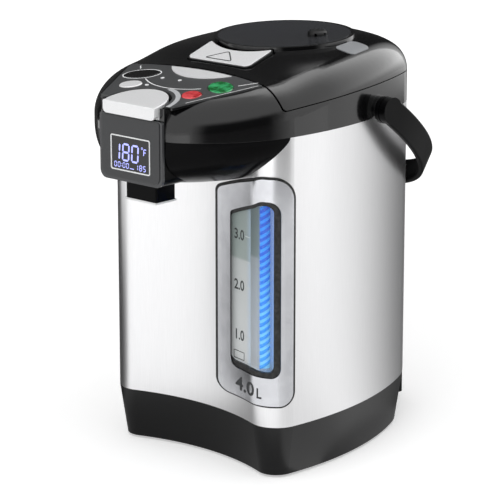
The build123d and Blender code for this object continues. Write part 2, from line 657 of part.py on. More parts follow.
def collar_pieces():
    tower_half = PANEL_HALF + BEZEL_MARGIN
    tower = Pos(0, 15 - NOSE_REACH, STEEL_TOP + 15) * Box(2 * tower_half, 30, 30)
    land = slab(grown(deck_plan(), DECK_LEDGE), 280, 340) & above_deck(-DECK_LEDGE_DEEP)
    outside = (COLLAR_OUTER + tower + land) - above_deck(0)
    cavity = INNER - Pos(0, -WALL, -WALL) * lid_zone(0, 0) - above_deck(-WALL)
    hole = slab(Circle(MOUTH_R), 200, 340)
    collar = outside - (cavity - slab(Circle(MOUTH_R + WALL), 200, 340)) - hole
    pocket_floor = KEY_BOTTOM - KEY_TRAVEL - FIT
    collar += slab(key_outline(KEY_GAP + WALL), pocket_floor - WALL, 320) & outside
    collar -= slab(key_outline(KEY_GAP), pocket_floor, 330)
    for x, y, half_long, half_wide, turn in BUTTONS.values():
        collar -= button_solid(x, y, half_long, half_wide, turn, grow=BUTTON_GAP, depth=WALL + 2)
    for x in (-1, 1):
        collar -= latch_tongue(x, FIT, LATCH_BITE + FIT + 1)
    boss_long = BOSS_X - HUB_WALL_X
    for side in (-1, 1):
        middle = side * (HUB_WALL_X + boss_long / 2)
        collar += lying(HUB_R, boss_long, middle, PIVOT_Y, PIVOT_Z) & Pos(0, 0, STEEL_TOP + 50) * Box(400, 400, 100)
        collar -= lying(PIN_R + PIN_SEAT, 2 * boss_long, side * BOSS_X, PIVOT_Y, PIVOT_Z)
    seat_z = STEEL_TOP + 12
    for side in (-1, 1):
        x = side * (KNUCKLE_WIDTH * 1.5 + FIT)
        web = Pos(x, HINGE_Y - 1, (HINGE_Z + seat_z) / 2) * Box(KNUCKLE_WIDTH, 2 * KNUCKLE_R - 3, HINGE_Z - seat_z)
        collar += lying(KNUCKLE_R, KNUCKLE_WIDTH, x, HINGE_Y, HINGE_Z) + web
        collar -= lying(HINGE_PIN_R + PIN_SEAT, KNUCKLE_WIDTH + 2, x, HINGE_Y, HINGE_Z)
    collar -= lying(KNUCKLE_R + LID_GAP, KNUCKLE_WIDTH * 2, 0, HINGE_Y, HINGE_Z)
    keep("collar", collar)
    pin_long = 4 * KNUCKLE_WIDTH + 2 * FIT
    keep("hinge_pin", lying(HINGE_PIN_R, pin_long, 0, HINGE_Y, HINGE_Z))


def bowl_block(inset):
    """Under-housing as stacked plans that draw in towards the bottom."""
    sections = []
    levels = 7
    depth = BOWL_DEPTH - inset
    for level in range(levels):
        down = depth * sin(radians(82 * level / (levels - 1)))
        wide = sqrt(1 - (down / depth) ** 2)
        long = (1 - (down / depth) ** 4) ** 0.25
        plan = Pos(0, -BOWL_CENTRE_Y, 0) * grown(HEAD, -inset)
        sections.append(Pos(0, BOWL_CENTRE_Y, STEEL_TOP - down) * scale(plan, by=(wide, long, 1)))
    return loft(sections)


def snout_box(grow):
    front = -NOSE_REACH
    back = -SPOUT_BACK + WALL + 1
    deep = back - front + 2 * grow
    high = STEEL_TOP - SNOUT_BOTTOM + grow
    half = PANEL_HALF + BEZEL_MARGIN
    box = Pos(0, front + deep / 2 - grow, STEEL_TOP - high / 2) * Box(2 * (half + grow), deep, high)
    low = box.edges().filter_by(Axis.Y).group_by(Axis.Z)[0]
    return fillet(low, PANEL_CORNER + BEZEL_MARGIN / 2)


def bowl_pieces():
    wall_cut = slab(grown(BODY, FIT), 200, STEEL_TOP)
    back = Pos(0, BOWL_END_Y + 100, 240) * Box(300, 200, 90)
    outside = bowl_block(0) - wall_cut - back
    inside = bowl_block(WALL) - slab(grown(BODY, FIT + WALL), 200, STEEL_TOP) - back
    nozzle_y = -(SPOUT_FRONT + SPOUT_BACK) / 2
    nozzle_room = Pos(0, nozzle_y, SPOUT_BOTTOM) * Box(
        2 * (SPOUT_HALF + FIT), SPOUT_FRONT - SPOUT_BACK + 2 * FIT, 60)
    bowl = outside - inside - snout_box(FIT) - nozzle_room
    snout = snout_box(0) - Pos(0, WALL, WALL) * snout_room()
    spout_y = -(SPOUT_FRONT + SPOUT_BACK) / 2
    snout -= Pos(0, spout_y, SNOUT_BOTTOM) * Cylinder(SPOUT_BORE_R, 4 * WALL)
    nozzle_high = SNOUT_BOTTOM - SPOUT_BOTTOM
    nozzle = Pos(0, spout_y, SPOUT_BOTTOM + nozzle_high / 2) * Box(
        2 * SPOUT_HALF, SPOUT_FRONT - SPOUT_BACK, nozzle_high)
    nozzle = fillet(nozzle.edges().filter_by(Axis.Z), 1.5)
    nozzle -= Pos(0, spout_y, SPOUT_BOTTOM + nozzle_high / 2) * Cylinder(SPOUT_BORE_R, nozzle_high)
    nozzle -= Pos(0, spout_y, SPOUT_BOTTOM) * Box(2 * SPOUT_HALF - 8, SPOUT_FRONT - SPOUT_BACK - 6, 10)
    rim = Pos(0, spout_y, SPOUT_BOTTOM - RIM_HIGH / 2) * (
        Box(2 * SPOUT_HALF + 1, SPOUT_FRONT - SPOUT_BACK + 1, RIM_HIGH)
        - Box(2 * SPOUT_HALF - 5, SPOUT_FRONT - SPOUT_BACK - 4, RIM_HIGH))
    keep("spout_bowl", bowl)
    keep("snout", snout)
    keep("spout_nozzle", nozzle)
    keep("nozzle_rim", rim)


def snout_room():
    front = -NOSE_REACH
    back = -SPOUT_BACK + WALL + 1
    deep = back - front - 2 * WALL
    high = STEEL_TOP - SNOUT_BOTTOM
    half = PANEL_HALF + BEZEL_MARGIN - WALL
    return Pos(0, front + deep / 2, SNOUT_BOTTOM + high / 2) * Box(2 * half, deep, high)


def upright_plate(half, bottom, top, front, back, corner):
    """Plate facing the front, with round lower corners and small upper ones."""
    points = [(-half, bottom), (half, bottom), (half, top), (-half, top)]
    small = min(corner, 2.0)
    face = make_face(FilletPolyline(*points, radius=[corner, corner, small, small], close=True))
    wall = Plane(origin=(0, -back, 0), x_dir=(1, 0, 0), z_dir=(0, -1, 0))
    return extrude(wall * face, front - back)


def display_pieces():
    bezel_front = PANEL_FACE - PANEL_THICK / 2
    bezel = upright_plate(PANEL_HALF + BEZEL_MARGIN, PANEL_BOTTOM - BEZEL_MARGIN, PANEL_TOP + BEZEL_TOP,
                          bezel_front, NOSE_REACH, PANEL_CORNER + BEZEL_MARGIN / 2)
    panel = upright_plate(PANEL_HALF, PANEL_BOTTOM, PANEL_TOP, PANEL_FACE, bezel_front, PANEL_CORNER)
    glass = upright_plate(LCD_HALF - LCD_RIM, LCD_BOTTOM + LCD_RIM, LCD_TOP - LCD_RIM, PANEL_FACE - 0.2,
                          NOSE_REACH + 0.6, 1.0)
    frame = upright_plate(LCD_HALF, LCD_BOTTOM, LCD_TOP, PANEL_FACE + 0.25, NOSE_REACH + 0.6, 1.8)
    opening = upright_plate(LCD_HALF, LCD_BOTTOM, LCD_TOP, PANEL_FACE + 5, NOSE_REACH + 0.6, 1.8)
    inside = upright_plate(LCD_HALF - LCD_RIM, LCD_BOTTOM + LCD_RIM, LCD_TOP - LCD_RIM, PANEL_FACE + 5,
                           NOSE_REACH - 5, 1.0)
    keep("display_bezel", bezel - opening)
    keep("display_panel", panel - opening)
    keep("lcd_frame", frame - inside)
    keep("lcd_screen", glass)
    board_y = -NOSE_REACH + WALL + 2
    board = Pos(0, board_y, (LCD_TOP + LCD_BOTTOM) / 2 - 2) * Box(2 * LCD_HALF, 1.6, LCD_TOP - LCD_BOTTOM - 4)
    board += Pos(0, board_y - 1.4, (LCD_TOP + LCD_BOTTOM) / 2 - 2) * Box(12, 1.2, 12)
    keep("display_board", board)


def deck_plan():
    slope = (DECK_BACK_HALF - DECK_FRONT_HALF) / (DECK_BACK - DECK_FRONT)
    back_y = CUT_Y + 5
    back_half = DECK_BACK_HALF - slope * (back_y + DECK_BACK)
    front_half = DECK_FRONT_HALF + slope * (DECK_FRONT_Y - DECK_FRONT)
    plan = make_face(Polyline((-front_half, -DECK_FRONT_Y), (front_half, -DECK_FRONT_Y),
                              (back_half, back_y), (-back_half, back_y), close=True))
    return plan & Pos(0, CUT_Y - CUT_R) * Circle(CUT_R - 1.6)


def deck_pieces():
    sheet = above_deck(0) - above_deck(DECK_THICK)
    plate = sheet & slab(deck_plan(), 280, 340)
    plate -= slab(Pos(0, KEY_CENTRE_Y) * Circle(KEY_R + KEY_GAP + 1.4), 280, 340)
    for x, y, half_long, half_wide, turn in BUTTONS.values():
        plate -= button_solid(x, y, half_long, half_wide, turn, grow=BUTTON_GAP)
    keep("deck_plate", plate)
    lens = (Pos(0, CUT_Y - CUT_R) * Circle(CUT_R - 3.6)) & (Pos(0, LENS_Y) * Circle(LENS_R))
    skin = above_deck(DECK_THICK) - above_deck(DECK_THICK + 0.5)
    keep("crescent_plate", skin & slab(lens, 280, 340))
    lamps = []
    for x, y in LAMPS:
        lamps.append(on_deck(x, y, DECK_THICK + 0.2) * Cylinder(1.5, 0.4))
    keep("indicator_lamps", Compound(children=lamps))
    board_top = BUTTON_DEPTH + BUTTON_TRAVEL + FIT
    board = on_deck(0, BOARD_Y, -board_top - BOARD_THICK / 2) * Box(BOARD_WIDE, BOARD_LONG, BOARD_THICK)
    stand_high = board_top - WALL - FIT
    for x in (-STAND_X, STAND_X):
        for y in STAND_Y:
            board += on_deck(x, y, -board_top + stand_high / 2) * Cylinder(3, stand_high)
    keep("button_board", board)
    for name, (x, y, half_long, half_wide, turn) in BUTTONS.items():
        body = button_solid(x, y, half_long, half_wide, turn)
        top_edge = body.edges().group_by(lambda edge: edge.center().Z)[-1]
        keep(name, fillet(top_edge, 1.0))
    keep("dispense_key", key_solid())


# ---------------------------------------------------------------- lid
def dish_frame(lift=0.0):
    return Pos(0, DISH_Y, DISH_Z) * Rot(DISH_TILT, 0, 0) * Pos(0, 0, lift)


def dish_cylinder(radius, bottom, top):
    height = top - bottom
    return dish_frame(bottom + height / 2) * Cylinder(radius, height)


def lever_frame():
    """Origin on the lever's upper front edge, Y up its slope."""
    return Pos(0, LEVER_FRONT_Y, LEVER_FRONT_Z) * Rot(LEVER_TILT, 0, 0)


def lever_block(side, front, back, bottom, top, crown=0.0):
    """Block round the lever's outline, with round corners and a rounded upper edge."""
    wide = LEVER_WIDTH + 2 * side
    long = LEVER_LENGTH + front + back
    high = top - bottom
    block = Box(wide, long, high)
    block = fillet(block.edges().filter_by(Axis.Z), LEVER_CORNER_R + min(side, front))
    if crown:
        block = fillet(block.faces().sort_by(Axis.Z)[-1].edges(), crown)
    return lever_frame() * Pos(0, long / 2 - front, (top + bottom) / 2) * block


def latch_tongue(side, grow, reach):
    """One tongue of the latch, reaching into the collar past the lid's front."""
    front = LATCH_FACE_Y - reach
    back = LATCH_BACK_Y
    long = back - front
    return Pos(side * LATCH_X, front + long / 2, LATCH_Z) * Box(
        LATCH_WIDTH + 2 * grow, long, LATCH_THICK + 2 * grow)


def lid_pieces():
    room = INNER & (above_seam(-1) - front_cut(CUT_GAP + WALL))
    lid = LID_OUTER - room
    seat_low = -DISH_DEPTH - DISH_WALL - WALL
    ring_r = DISH_R + FIT + WALL
    lid += dish_cylinder(ring_r, seat_low, 0)
    lid -= dish_cylinder(DISH_R + FIT, seat_low + WALL, 30)
    lid -= dish_cylinder(DISH_R - 5, seat_low, 30)
    # recess under the lever, with its own floor and walls
    guard = dish_cylinder(ring_r, seat_low, 30)
    tub = lever_block(LEVER_GAP + LEVER_CHEEK, LEVER_GAP + WALL, LEVER_TAIL, -LEVER_ROOM - WALL, 3) & LID_OUTER
    lid += tub - guard
    lid -= lever_block(LEVER_GAP, LEVER_GAP, LEVER_TAIL + LEVER_BACK_GAP, -LEVER_ROOM, 30) - guard
    pivot_y, pivot_z = lever_pivot()
    lid -= lying(LEVER_PIN_R + PIN_SEAT, lever_pin_long() + FIT, 0, pivot_y, pivot_z)
    for x in (-1, 1):
        lid -= latch_tongue(x, FIT, LATCH_BITE)
    # hinge: one knuckle between the collar's two
    half = KNUCKLE_WIDTH - FIT
    for side in (-1, 1):
        x = side * (KNUCKLE_WIDTH * 1.5 + FIT)
        lid -= lying(KNUCKLE_R + LID_GAP, KNUCKLE_WIDTH + 2 * LID_GAP, x, HINGE_Y, HINGE_Z)
    web = Pos(0, HINGE_Y - KNUCKLE_R / 2, HINGE_Z + 1) * Box(2 * half, KNUCKLE_R, 2 * KNUCKLE_R - 4)
    lid += lying(KNUCKLE_R, 2 * half, 0, HINGE_Y, HINGE_Z) + web
    lid -= lying(HINGE_PIN_R + HINGE_RUN, 2 * half, 0, HINGE_Y, HINGE_Z)
    keep("lid_top", lid)
    # shallow dish that catches steam and drips
    edge = (DISH_R - DISH_LIP, -0.6)
    fall = DISH_DEPTH + edge[1]
    curve_r = (edge[0] ** 2 + fall ** 2) / (2 * fall)
    half_way = (edge[0] / 2, -DISH_DEPTH + curve_r - sqrt(curve_r ** 2 - edge[0] ** 2 / 4))
    floor = ThreePointArc((0, -DISH_DEPTH), half_way, edge)
    rest = Polyline(edge, (DISH_R, 0), (DISH_R, -DISH_DEPTH - DISH_WALL), (0, -DISH_DEPTH - DISH_WALL),
                    (0, -DISH_DEPTH))
    profile = make_face([floor] + rest.edges())
    dish = dish_frame() * revolve(Plane.XZ * profile, Axis.Z)
    vent = dish_frame() * Pos(VENT_X, VENT_Y - DISH_Y, 0)
    dish -= vent * Pos(0, 0, 10 - DISH_DEPTH) * Cylinder(VENT_R, 20)
    dish -= vent * Pos(0, 0, -DISH_DEPTH) * Cylinder(VENT_R - 2.5, 20)
    cap_low = -DISH_DEPTH
    cap = vent * Pos(0, 0, cap_low + VENT_HIGH / 2) * Cylinder(VENT_R, VENT_HIGH)
    cap = fillet(cap.edges().group_by(Axis.Z)[-1], 3.0)
    cap -= vent * Pos(0, 0, cap_low + VENT_HIGH / 2 - 1.6) * Cylinder(VENT_R - 2.5, VENT_HIGH)
    for turn in range(6):
        cap -= vent * Rot(0, 0, 60 * turn) * Pos(VENT_R, 0, cap_low + VENT_HIGH / 2) * Box(8, 2, VENT_HIGH - 3.5)
    keep("steam_dish", dish)
    keep("steam_vent", cap)
    # label plate on the right of the lid
    corners = [(59.0, -14.5), (77.8, -14.6), (72.3, 14.0), (55.4, 12.9)]
    skin = (Pos(0, 0, 0.5) * OUTER) - OUTER
    keep("label_plate", skin & slab(make_face(FilletPolyline(*corners, radius=5, close=True)), 300, 340))
    # plug that closes the vessel
    top = PLUG_TOP
    plug = Pos(0, 0, (PLUG_BOTTOM + top) / 2) * Cylinder(PLUG_R, top - PLUG_BOTTOM)
    plug = fillet(plug.edges().group_by(Axis.Z)[0], 4)
    plug -= Pos(0, 0, (PLUG_BOTTOM + top) / 2 + WALL) * Cylinder(PLUG_R - WALL, top - PLUG_BOTTOM)
    plug -= ring(PLUG_R + 1, PLUG_R - SEAL_DEEP, SEAL_LOW, SEAL_HIGH)
    plug -= Pos(VENT_X, VENT_Y, PLUG_BOTTOM) * Cylinder(2.5, 10)
    rim = slab(grown(HEAD, -WALL - FIT), top - WALL, top) & INNER
    rim -= front_cut(CUT_GAP + WALL + FIT)
    rim -= slab(Circle(PLUG_R - WALL), top - 5, top + 5)
    rim -= Pos(0, HINGE_Y, top) * Box(4 * KNUCKLE_WIDTH + 8, 2 * KNUCKLE_R + 4, 30)
    keep("lid_inner_cover", plug + rim)
    keep("lid_gasket", ring(SEAL_R, PLUG_R - SEAL_DEEP, SEAL_LOW, SEAL_HIGH))


def lever_pivot():
    """Pin axis of the lever, in a barrel under its plate near the rear edge."""
    spot = lever_frame() * Pos(0, LEVER_PIVOT, -LEVER_PIVOT_DEEP)
    return spot.position.Y, spot.position.Z


def lever_pin_long():
    return LEVER_WIDTH + 2 * (LEVER_GAP + LEVER_PIN_BITE)


def lever_pieces():
    pivot_y, pivot_z = lever_pivot()
    guard_r = DISH_R + FIT + WALL + LEVER_BACK_GAP
    plate = lever_block(0, 0, LEVER_TAIL, -LEVER_THICK, -LEVER_CAP)
    plate += lying(LEVER_BARREL_R, LEVER_WIDTH, 0, pivot_y, pivot_z)
    plate -= dish_cylinder(guard_r, -40, 30)
    plate -= lying(LEVER_PIN_R + HINGE_RUN, LEVER_WIDTH, 0, pivot_y, pivot_z)
    cap = lever_block(-LEVER_BORDER, -LEVER_BORDER, LEVER_TAIL - LEVER_BORDER, -LEVER_CAP, 0, crown=LEVER_CAP / 2)
    cap -= dish_cylinder(guard_r + LEVER_BORDER, -40, 30)
    keep("release_lever", plate)
    keep("lever_plate", cap)
    keep("lever_pin", lying(LEVER_PIN_R, lever_pin_long(), 0, pivot_y, pivot_z))
    bar = Pos(0, LATCH_BACK_Y - 3, LATCH_Z) * Box(2 * LATCH_X + LATCH_WIDTH, 6, LATCH_THICK)
    keep("latch_bar", bar + latch_tongue(-1, 0, LATCH_BITE) + latch_tongue(1, 0, LATCH_BITE))


# ---------------------------------------------------------------- carrying handle
def bail_band(outer, inner):
    """U-shaped strap in the XY plane, arms towards -Y from its oval bow."""
    def outline(half, bow):
        return [Line((-half, 0), (-half, BAIL_ARM)), EllipticalCenterArc((0, BAIL_ARM), half, bow, start_angle=0, arc_size=180),
                Line((half, BAIL_ARM), (half, 0)), Line((half, 0), (-half, 0))]
    return make_face(outline(outer, BAIL_BOW)) - make_face(outline(inner, BAIL_BOW - outer + inner))


def handle_pieces():
    droop = Pos(0, PIVOT_Y, PIVOT_Z) * Rot(-BAIL_DROOP, 0, 0)
    outer = BAIL_X + BAIL_THICK / 2
    inner = BAIL_X - BAIL_THICK / 2
    strap = extrude(Pos(0, 0, -BAIL_WIDTH / 2) * bail_band(outer, inner), BAIL_WIDTH)
    strap = fillet(strap.edges().filter_by(lambda edge: edge.center().Y > 1 and abs(
        abs(edge.center().Z) - BAIL_WIDTH / 2) < 0.01), 1.6)
    handle = droop * strap
    hub_long = inner + 1 - BOSS_X - HUB_GAP
    for side in (-1, 1):
        middle = side * (BOSS_X + HUB_GAP + hub_long / 2)
        handle += lying(HUB_R, hub_long, middle, PIVOT_Y, PIVOT_Z)
        handle += lying(HUB_R, BAIL_THICK, side * BAIL_X, PIVOT_Y, PIVOT_Z)
        groove = lying(HUB_R + 1, HUB_GROOVE, side * HUB_GROOVE_X, PIVOT_Y, PIVOT_Z)
        handle -= groove - lying(HUB_R - 1.3, HUB_GROOVE, side * HUB_GROOVE_X, PIVOT_Y, PIVOT_Z)
    pins = []
    for side in (-1, 1):
        reach = BAIL_X - HUB_WALL_X
        middle = side * (HUB_WALL_X + reach / 2)
        handle -= lying(PIN_R + PIN_RUN, 2 * (BAIL_X - BOSS_X), side * BOSS_X, PIVOT_Y, PIVOT_Z)
        pins.append(lying(PIN_R, reach - PIN_RUN, middle - side * PIN_RUN / 2, PIVOT_Y, PIVOT_Z))
    keep("carry_handle", handle)
    keep("handle_pins", Compound(children=pins))


def build():
    base_pieces()
    inlet_pieces()
    shell_pieces()
    vessel_pieces()
    pump_pieces()
    collar_pieces()
    bowl_pieces()
    display_pieces()
    deck_pieces()
    lid_pieces()
    lever_pieces()
    handle_pieces()


build()
whole = Compound(children=[copy(solid) for solid in parts.values()]).bounding_box()
SHIFT = Pos(-whole.center().X, -whole.center().Y, -whole.min.Z)
os.makedirs("parts", exist_ok=True)
for name, solid in parts.items():
    export_step(SHIFT * solid, f"parts/{name}.step")
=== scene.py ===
# %% [markdown]
# # An electric thermo pot
# The solids of the pot come ready made and stay where they are. This lesson dresses them: it
# gives every piece the finish of the real one, prints the scales and lines that the solids
# don't carry, lights the pot like a product on a white sweep, and sets the camera.

# %% Load the frame
import bpy
import bmesh
from math import cos, pi, radians, sin, tan
from mathutils import Matrix, Vector
from mathutils.bvhtree import BVHTree


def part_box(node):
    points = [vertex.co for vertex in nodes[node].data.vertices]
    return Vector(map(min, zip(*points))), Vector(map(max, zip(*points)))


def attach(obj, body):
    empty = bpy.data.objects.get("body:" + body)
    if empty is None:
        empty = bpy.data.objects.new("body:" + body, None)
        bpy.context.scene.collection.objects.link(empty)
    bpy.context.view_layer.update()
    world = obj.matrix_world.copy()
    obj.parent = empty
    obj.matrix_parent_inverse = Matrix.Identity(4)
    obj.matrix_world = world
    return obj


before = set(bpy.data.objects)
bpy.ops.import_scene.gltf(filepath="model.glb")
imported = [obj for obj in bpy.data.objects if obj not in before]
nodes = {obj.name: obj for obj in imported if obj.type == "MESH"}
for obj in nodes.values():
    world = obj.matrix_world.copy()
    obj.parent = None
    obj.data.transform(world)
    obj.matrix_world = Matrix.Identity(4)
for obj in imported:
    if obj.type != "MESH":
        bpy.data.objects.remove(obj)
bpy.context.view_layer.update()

MM = 0.001

# %% [markdown]
# Places on this pot are easiest to give from the axis of its round inner tank, in millimetres,
# because the buttons, the dish and the window were all laid out from there. The axis is read
# off the tank's own box, so it follows the solids, and one small function turns such a place
# into metres in the shared frame.

# %% Places in millimetres from the tank's axis
tank_low, tank_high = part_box("inner_tank")
AXIS_Y = (tank_low.y + tank_high.y) / 2


def place(x, y, z):
    return Vector((x * MM, y * MM + AXIS_Y, z * MM))


print("tank axis at y =", round(AXIS_Y / MM, 2), "mm")

# %% [markdown]
# ## Camera
# A long lens far away keeps the pot's uprights almost parallel, as a product picture does. The
# camera looks at the pot from its front right, a little from above. It could be pushed and
# turned by hand until the pot fits. An angle round the pot, a height angle and a distance are
# three numbers that can be changed one by one, and the aim is then moved sideways and up in the
# picture plane until the pot sits where it should.

# %% Camera
CAMERA_AZIMUTH = radians(42.281)
CAMERA_RISE = radians(14.506)
CAMERA_DISTANCE = 2108.09
AIM_RIGHT = -32.209
AIM_UP = 145.129
FOCAL = 181.2
SENSOR_WIDTH = 36
CLIP_END = 20


def make_camera():
    """The camera looks along the line back to its aim. Lengths are in millimetres."""
    turn, rise = CAMERA_AZIMUTH, CAMERA_RISE
    back = Vector((sin(turn) * cos(rise), -cos(turn) * cos(rise), sin(rise)))
    right = Vector((cos(turn), sin(turn), 0))
    up = back.cross(right)
    spot = right * AIM_RIGHT + up * AIM_UP + back * CAMERA_DISTANCE
    data = bpy.data.cameras.new("camera")
    data.sensor_width = SENSOR_WIDTH
    data.lens = FOCAL
    data.clip_end = CLIP_END
    camera = bpy.data.objects.new("camera", data)
    axes = Matrix((right, up, back)).transposed().to_4x4()
    camera.matrix_world = Matrix.Translation(place(*spot)) @ axes
    bpy.context.collection.objects.link(camera)
    bpy.context.scene.camera = camera
    return camera


camera = make_camera()
print("camera at", [round(value, 3) for value in camera.matrix_world.translation])

# %% [markdown]
# ## Colours and shader nodes
# Colours are written as the hex values that a screen shows, and one function turns them into
# the linear values that the renderer adds up. Nodes could be set one by one in the editor. One
# function that adds a node of any kind with its settings and links says the same in a line, so
# each material below reads as a short list.

# %% Helpers for colours and nodes
def linear(hex_colour):
    channels = [int(hex_colour[i:i + 2], 16) / 255 for i in (1, 3, 5)]
    return tuple(c / 12.92 if c <= 0.04045 else ((c + 0.055) / 1.055) ** 2.4
                 for c in channels) + (1.0,)


def plug(tree, node, **inputs):
    """Links each input that is given a socket and sets each other one. _0 is the first input."""
    for name, value in inputs.items():
        key = int(name[1:]) if name[0] == "_" else name.replace("_", " ")
        if isinstance(value, bpy.types.NodeSocket):
            tree.links.new(value, node.inputs[key])
        else:
            node.inputs[key].default_value = value


def add_node(tree, kind, settings=None, stops=(), **inputs):
    """A node of any kind. Stops are the (position, colour) pairs of a colour ramp."""
    node = tree.nodes.new(kind)
    for name, value in (settings or {}).items():
        setattr(node, name, value)
    plug(tree, node, **inputs)
    if stops:
        elements = node.color_ramp.elements
        while len(elements) < len(stops):
            elements.new(0.5)
        for element, (position, colour) in zip(elements, stops):
            element.position = position
            element.color = linear(colour) if isinstance(colour, str) else colour
    return node


def empty_tree(owner):
    """The node tree of a material or a world, cleared."""
    owner.use_nodes = True
    owner.node_tree.nodes.clear()
    return owner.node_tree


def new_material(name, **shader):
    """A material with one Principled shader, returned with its tree and that shader."""
    material = bpy.data.materials.new(name)
    tree = empty_tree(material)
    surface = add_node(tree, "ShaderNodeBsdfPrincipled", **shader)
    output = add_node(tree, "ShaderNodeOutputMaterial", Surface=surface.outputs[0])
    output.is_active_output = True
    return material, tree, surface


print("the darkest black here is linear", [round(value, 4) for value in linear("#040405")[:3]])

# %% [markdown]
# Most finishes are not one flat colour. A texture on Object coordinates stays with its piece
# when the piece moves, and its scale is worked out from a size in millimetres. In many
# finishes one such noise drives both the tone and the relief, because on the real surface
# they are one and the same grain, so one function makes them all.

# %% Patterns and grained finishes
def pattern(tree, kind, size_mm, stretch=(1, 1, 1), **inputs):
    """The first output of a texture of any kind that changes about every size_mm."""
    source = add_node(tree, "ShaderNodeTexCoord")
    where = add_node(tree, "ShaderNodeMapping", Vector=source.outputs["Object"], Scale=stretch)
    texture = add_node(tree, kind, Vector=where.outputs[0], Scale=1 / (size_mm * MM), **inputs)
    return texture.outputs[0]


def grained(name, size_mm, stops, detail, depth_mm=0.0, strength=1.0, stretch=(1, 1, 1), **shader):
    """A finish whose tone follows one noise, and whose relief does where it has a depth."""
    material, tree, surface = new_material(name, **shader)
    grain = pattern(tree, "ShaderNodeTexNoise", size_mm, stretch, Detail=detail)
    tone = add_node(tree, "ShaderNodeValToRGB", stops=stops, Fac=grain)
    plug(tree, surface, Base_Color=tone.outputs[0])
    if depth_mm:
        relief = add_node(tree, "ShaderNodeBump", Height=grain, Distance=depth_mm * MM,
                          Strength=strength)
        plug(tree, surface, Normal=relief.outputs[0])
    return material


print("patterns are sized in millimetres")

# %% [markdown]
# ## Metals
# The body is a sheet of 430 stainless steel, rolled, then brushed upright with a fine belt.
# The brushing blurs what it mirrors, so it shows broad soft bands. The real lines are less than
# a tenth of a millimetre apart, too fine to show, so they are drawn at 0.35 mm, and stretched
# fifty times along the height. The window's frame is moulded ABS with a bright plated skin:
# smoother, a touch bluer, and gently wavy. Zinc plating, drawn steel and the nickel on the
# brass pins are a little uneven in tone, and one noise is enough for them.

# %% Metals
BRUSHING = 0.35
PLATING_WAVE = 9
MOTTLE = 1.5


def mottled_metal(name, colour, roughness):
    return grained(name, MOTTLE, [(0.3, colour), (0.75, "#CFCFCD")], 3.0,
                   Metallic=1.0, Roughness=roughness)


steel = grained("brushed_stainless_steel", BRUSHING, [(0.3, "#E9E9EA"), (0.7, "#EEEEEF")], 2.0,
                depth_mm=0.004, strength=0.18, stretch=(1, 1, 0.02), Metallic=1.0, Roughness=0.3)
plating = grained("satin_chrome_plating", PLATING_WAVE, [(0.3, "#C9CACE"), (0.7, "#D2D3D7")], 1.0,
                  depth_mm=0.02, strength=0.3, Metallic=1.0, Roughness=0.2)
zinc = mottled_metal("zinc_plated_steel", "#A9ABA8", 0.35)
drawn_steel = mottled_metal("deep_drawn_stainless_steel", "#B4B4B4", 0.25)
contact_brass = mottled_metal("nickel_plated_brass", "#B8AC8C", 0.3)
print("metals:", [m.name for m in (steel, plating, zinc, drawn_steel, contact_brass)])

# %% [markdown]
# ## Plastics
# The head is moulded from ABS in a polished tool: it comes out black and glossy, and only a
# very gentle waviness of the skin breaks its reflections. The base comes from a lightly sanded
# tool, so it looks softer, and the pieces below and inside from a coarser one. The spout's
# polypropylene and the nylon of the strap mirror least. One function makes them all, with the
# waviness and the sanding as real depths. The edges could be rounded in the meshes. A bevel
# in the shader rounds each moulded edge without touching the solids, because no tool makes a
# razor edge.

# %% Moulded plastics
WAVE = 14
GRIT = 0.9


def moulded(name, colour, roughness, wave_mm=0.0, grit_mm=0.0, edge_mm=0.4, coat=0.0, shine=0.5):
    """Wave and grit are the depths of the skin's unevenness, edge is the radius of its edges."""
    material, tree, surface = new_material(
        name, Base_Color=linear(colour), Roughness=roughness, IOR=1.5, Coat_Weight=coat,
        Coat_Roughness=0.04, Specular_IOR_Level=shine)
    normal = add_node(tree, "ShaderNodeBevel", {"samples": 4}, Radius=edge_mm * MM).outputs[0]
    if wave_mm:
        wave = pattern(tree, "ShaderNodeTexNoise", WAVE, Detail=1.0)
        normal = add_node(tree, "ShaderNodeBump", Height=wave, Distance=wave_mm * MM,
                          Strength=1.0, Normal=normal).outputs[0]
    if grit_mm:
        grit = pattern(tree, "ShaderNodeTexNoise", GRIT, Detail=3.0)
        normal = add_node(tree, "ShaderNodeBump", Height=grit, Distance=grit_mm * MM,
                          Strength=0.6, Normal=normal).outputs[0]
        spread = add_node(tree, "ShaderNodeMapRange", Value=grit, To_Min=roughness - 0.05,
                          To_Max=roughness + 0.07)
        plug(tree, surface, Roughness=spread.outputs[0])
    plug(tree, surface, Normal=normal)
    return material


gloss_black = moulded("polished_black_abs", "#0B0B0C", 0.14, wave_mm=0.012, coat=0.3)
spout_black = moulded("black_polypropylene_spout", "#040405", 0.22, wave_mm=0.02, shine=0.06)
strap_black = moulded("black_nylon_strap", "#050506", 0.3, grit_mm=0.008, shine=0.09)
satin_black = moulded("sanded_black_abs", "#101011", 0.33, grit_mm=0.01)
dull_black = moulded("fine_textured_black_polypropylene", "#131314", 0.5, grit_mm=0.03)
dark_lens = moulded("smoked_polycarbonate", "#050509", 0.06)
white_paint = moulded("white_screen_print", "#F2F3F4", 0.45, edge_mm=0.05)
grey_plastic = moulded("grey_polypropylene", "#77797B", 0.4, grit_mm=0.02)
dish_grey = moulded("dark_grey_abs", "#36373A", 0.2, wave_mm=0.012)
rim_white = moulded("white_abs", "#F3F4F4", 0.3)
bezel_grey = moulded("charcoal_abs", "#3C3D3F", 0.25)
print("black plastics:", [m.name for m in (gloss_black, spout_black, strap_black, satin_black,
                                           dull_black, dark_lens)])
print("other plastics:", [m.name for m in (white_paint, grey_plastic, dish_grey, rim_white,
                                           bezel_grey)])

